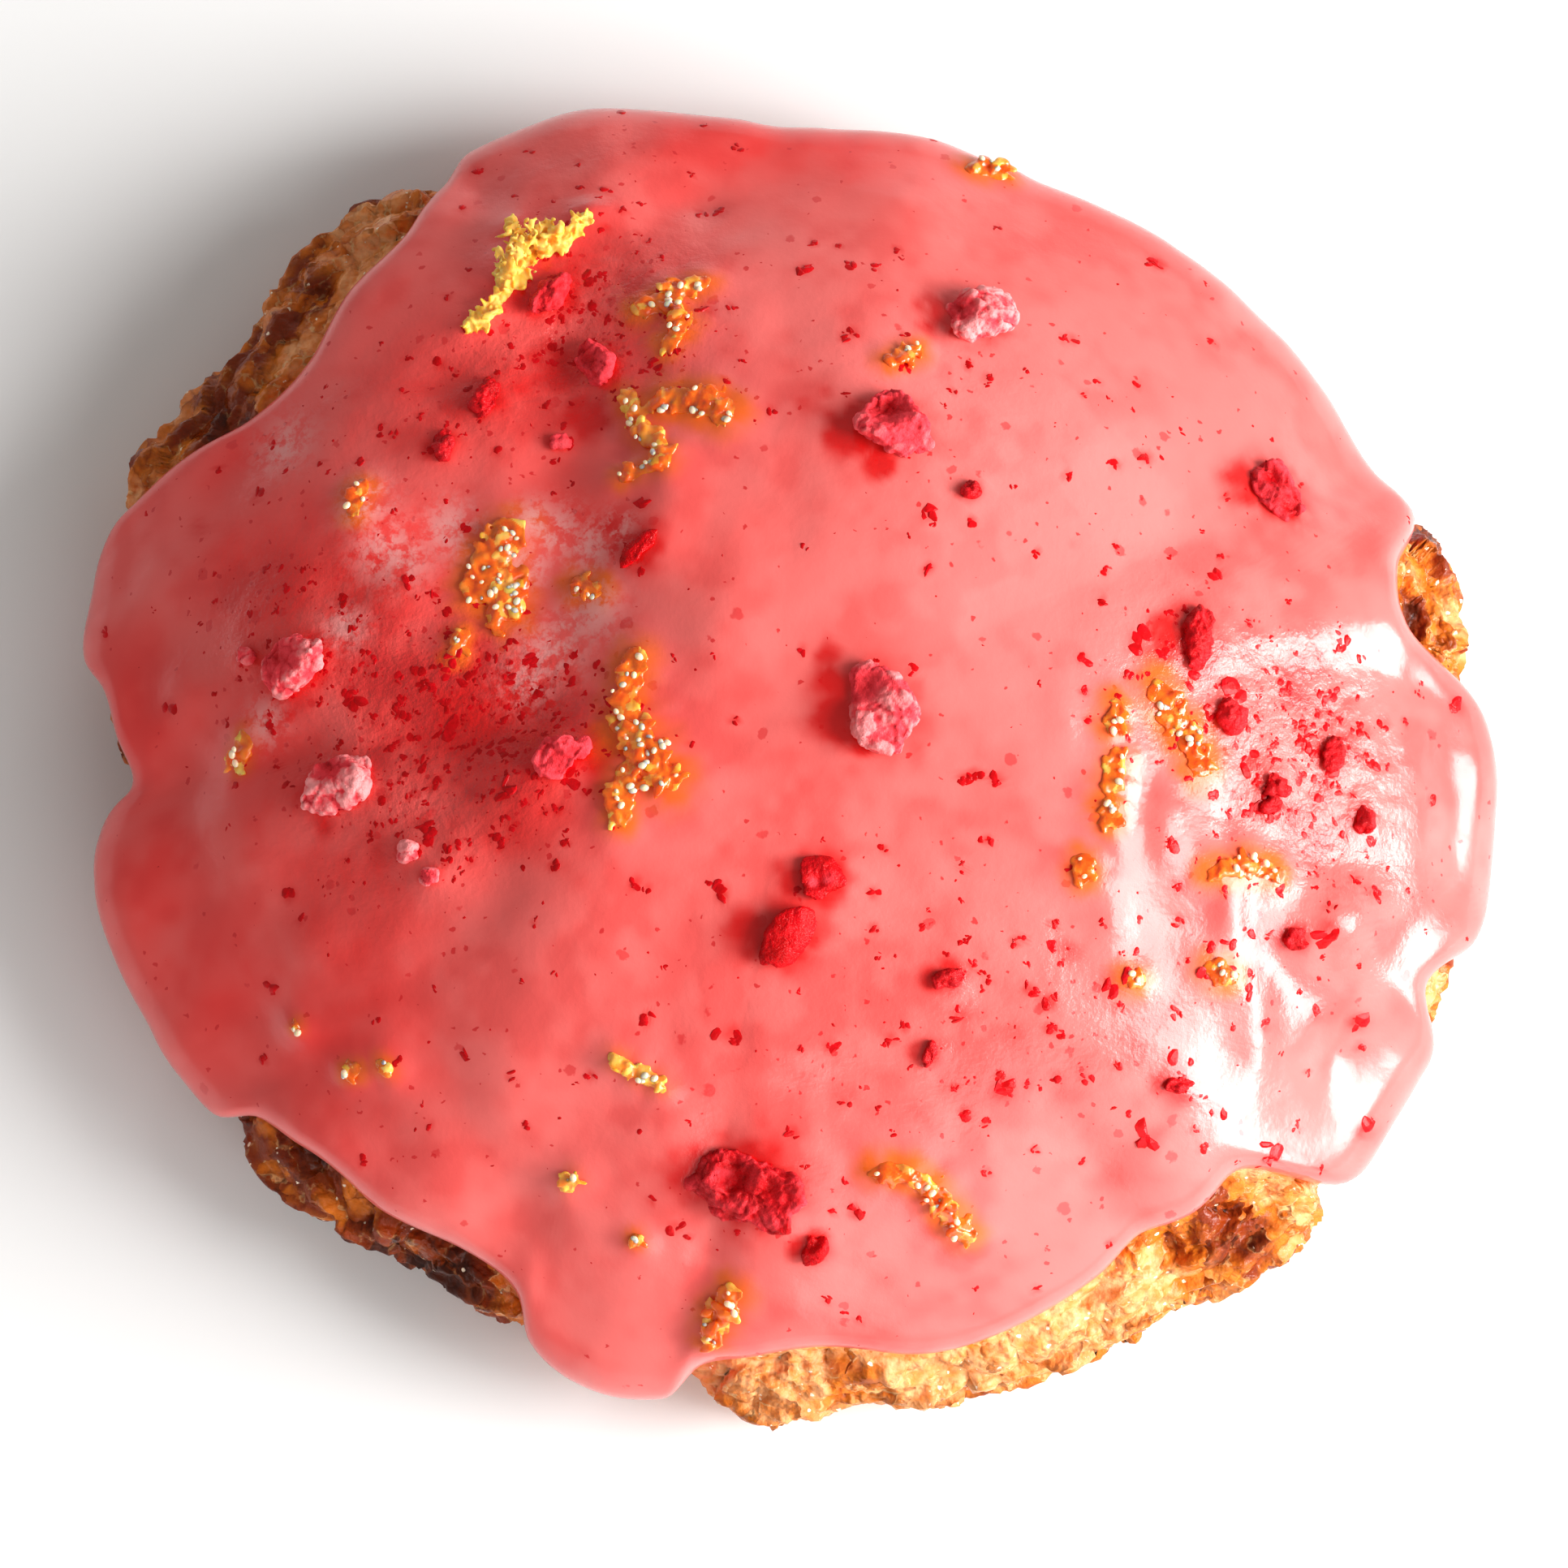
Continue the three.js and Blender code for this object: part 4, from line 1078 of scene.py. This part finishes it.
def crust_look():
    look = Look("baked_crust")
    shaken = look.warped(1.6, 2.4)
    height, tone, gloss = look.facets(2.4, shaken)
    # The baked darkness holds painted shade in the recesses of the relief.
    browned_and_recess_shade = look.math("ADD", look.attribute("baked"), look.scaled(tone, 0.6, -0.3))
    fine = look.noise(1.1, 3, 0.6)
    seams = look.cells(2.4, shaken, feature="DISTANCE_TO_EDGE").outputs["Distance"]
    # Pale broken lines along the flakes' edges: painted glints.
    glint_lines = look.times(look.ramp(seams, 0.02, 0.07, 1.0, 0.0), look.ramp(fine, 0.52, 0.6))
    # Pale specks: sugar grains, and painted glints of sparkle.
    sugar_and_sparkle = look.specks(0.7, 0.2, look.ramp(browned_and_recess_shade, 0.0, 0.9, 0.4, 0.14), look.warped(0.4, 0.4))
    colour = look.layered(
        look.mix(look.ramp(fine, 0.35, 0.65), (0.9, 0.41, 0.17), (0.8, 0.24, 0.05)),
        (look.ramp(browned_and_recess_shade, 0.0, 0.5), (0.7, 0.17, 0.012)),
        (look.ramp(browned_and_recess_shade, 0.5, 0.95), (0.24, 0.028, 0.002)),
        (look.ramp(browned_and_recess_shade, 0.95, 1.5), (0.06, 0.008, 0.001)),
        (look.ramp(seams, 0.0, 0.14, 0.5, 0.0), look.ramp(browned_and_recess_shade, 0.1, 0.6, 0.3, 1.0), (0.3, 0.05, 0.005)),
        (glint_lines, look.ramp(browned_and_recess_shade, 0.2, 1.0, 0.6, 0.2), (0.9, 0.55, 0.24)),
        (sugar_and_sparkle, (1.0, 0.8, 0.6)),
    )
    return look.finish(
        Base_Color=colour,
        Roughness=look.ramp(gloss, 0.1, 0.9, 0.12, 0.5),
        IOR=1.5,
        Specular_IOR_Level=0.12,
        Coat_Weight=0.15,
        Coat_Roughness=0.1,
        Normal=look.bump(look.scaled(fine, 0.35, height), 0.8),
    )


def raspberry_look(name, roughness_depth):
    look = Look(name)
    pale, ridge = look.attribute("pale"), look.attribute("ridge")
    # Paler on the ridges and deeper red in the crevices: whitish dried tips, and painted highlight and
    # shade.
    dust = look.math("ADD", look.times(ridge, 0.7), look.times(look.noise(0.7, 4, 0.65), 0.8))
    amount = look.times(pale, look.ramp(dust, 0.3, 0.95, 0.35, 1.0))
    colour = look.layered(
        look.mix(look.ramp(look.noise(1.1, 3), 0.35, 0.65), (0.64, 0.002, 0.006), (0.44, 0.001, 0.002)),
        (look.ramp(amount, 0.0, 0.4), (0.95, 0.055, 0.075)),
        (look.ramp(amount, 0.4, 0.95), (1.0, 0.33, 0.33)),
    )
    return look.finish(
        Base_Color=colour,
        Roughness=look.ramp(pale, 0.0, 0.5, 0.2, 0.8),
        Specular_IOR_Level=0.12,
        Normal=look.bump(look.noise(0.3, 3, 0.7), roughness_depth),
    )


def zest_look():
    look = Look("candied_zest")
    dry, ridge = look.attribute("dry"), look.attribute("ridge")
    cloud = look.noise(1.2, 3)
    amber = look.mix(look.ramp(cloud, 0.35, 0.68), (0.78, 0.09, 0.003), (0.96, 0.18, 0.008))
    yellow = look.mix(look.ramp(cloud, 0.3, 0.7), (1.0, 0.42, 0.014), (1.0, 0.64, 0.14))
    # Yellower where dry, and on the ridges as a painted highlight.
    light = look.math("ADD", dry, look.scaled(ridge, 0.4, -0.2))
    colour = look.mix(look.ramp(light, 0.25, 0.85), amber, yellow)
    # The beads are pale: painted glints on the syrup.
    colour = look.mix(look.attribute("bead"), colour, (1.0, 0.7, 0.5))
    return look.finish(
        Base_Color=colour,
        Roughness=look.ramp(dry, 0.3, 0.9, 0.08, 0.6),
        IOR=1.55,
        Subsurface_Weight=0.7,
        Subsurface_Radius=(1.0, 0.5, 0.12),
        Subsurface_Scale=0.7 * MM,
        Normal=look.bump(look.noise(0.35, 3), 0.04),
    )


def floor_look():
    look = Look("pale_paper")
    tone = look.mix(look.noise(30, 1), (0.88, 0.88, 0.88), (0.92, 0.92, 0.92))
    return look.finish(Base_Color=tone, Roughness=0.9)


# The scene.


def add_window(name, azimuth, elevation, distance, size, brightness):
    """A bright window, seen from the pie at an azimuth and elevation in degrees."""
    light = bpy.data.lights.new(name, "AREA")
    light.shape = "RECTANGLE"
    light.size, light.size_y = size
    light.energy = brightness * math.pi * size[0] * size[1]
    light.color = (1.0, 0.995, 0.985)
    window = bpy.data.objects.new(name, light)
    azimuth, elevation = math.radians(azimuth), math.radians(elevation)
    flat = math.cos(elevation)
    way = Vector((flat * math.cos(azimuth), flat * math.sin(azimuth), math.sin(elevation)))
    window.location = way * distance
    window.rotation_euler = way.to_track_quat("Z", "Y").to_euler()
    bpy.context.collection.objects.link(window)


def make_stage():
    """A pale floor, a large window on the right, a pale room and the camera of the photograph."""
    bpy.ops.mesh.primitive_plane_add(size=4, location=(0, 0, 0))
    floor = bpy.context.object
    floor.name = "floor"
    floor.data.materials.append(floor_look())

    for name, window in WINDOWS.items():
        add_window(name, *window)

    room = bpy.data.worlds.new("room")
    room.use_nodes = True
    nodes, links = room.node_tree.nodes, room.node_tree.links
    direction = nodes.new("ShaderNodeTexCoord").outputs["Generated"]
    parts = nodes.new("ShaderNodeSeparateXYZ")
    links.new(direction, parts.inputs[0])
    band = nodes.new("ShaderNodeMapRange")
    links.new(parts.outputs["Z"], band.inputs["Value"])
    for key, number in zip(("From Min", "From Max", "To Min", "To Max"), (0.3, 0.7, *ROOM_LIGHT)):
        band.inputs[key].default_value = number
    links.new(band.outputs["Result"], nodes["Background"].inputs["Strength"])
    nodes["Background"].inputs["Color"].default_value = (1.0, 0.965, 0.93, 1)
    bpy.context.scene.world = room

    camera = bpy.data.cameras.new("camera")
    camera.sensor_width = SENSOR_WIDTH
    camera.lens = SENSOR_WIDTH * VIEW_DISTANCE / (VIEW_SIDE * VIEW_PIXEL)
    viewer = bpy.data.objects.new("camera", camera)
    viewer.location = Vector(VIEW_EYE * MM)
    viewer.rotation_euler = Vector(VIEW_BACK).to_track_quat("Z", "Y").to_euler()
    bpy.context.collection.objects.link(viewer)
    bpy.context.scene.camera = viewer
    bpy.context.scene.view_settings.view_transform = "Standard"


def main():
    make_stage()
    make_crust(crust_look())
    glaze = Glaze()
    glaze.dimple(glaze.tree())
    glaze.cling(cling_spots(glaze.tree()))
    tree = glaze.tree()
    berry_stains_and_shadows = make_raspberries(raspberry_look("dried_raspberry", 0.16), tree)
    zests = make_zests(zest_look(), tree)
    powder = [(ray_hit(tree, pixel)[0], radius, share) for pixel, radius, share, _ in POWDER_PATCHES]
    crumbs = make_crumbs(raspberry_look("raspberry_powder", 0.02), tree, powder)
    spots = {
        "berry": berry_stains_and_shadows + crumbs + spots_at(tree, STAINS_AND_SHADOWS),
        "zest": zests,
        "shade_tint": spots_at(tree, SHADE_TINTS),
        "painted_sheen": spots_at(tree, PAINTED_SHEENS),
        "wrinkle_sheen": spots_at(tree, WRINKLE_SHEENS),
    }
    make_icing(icing_look(), glaze, spots, powder)


main()
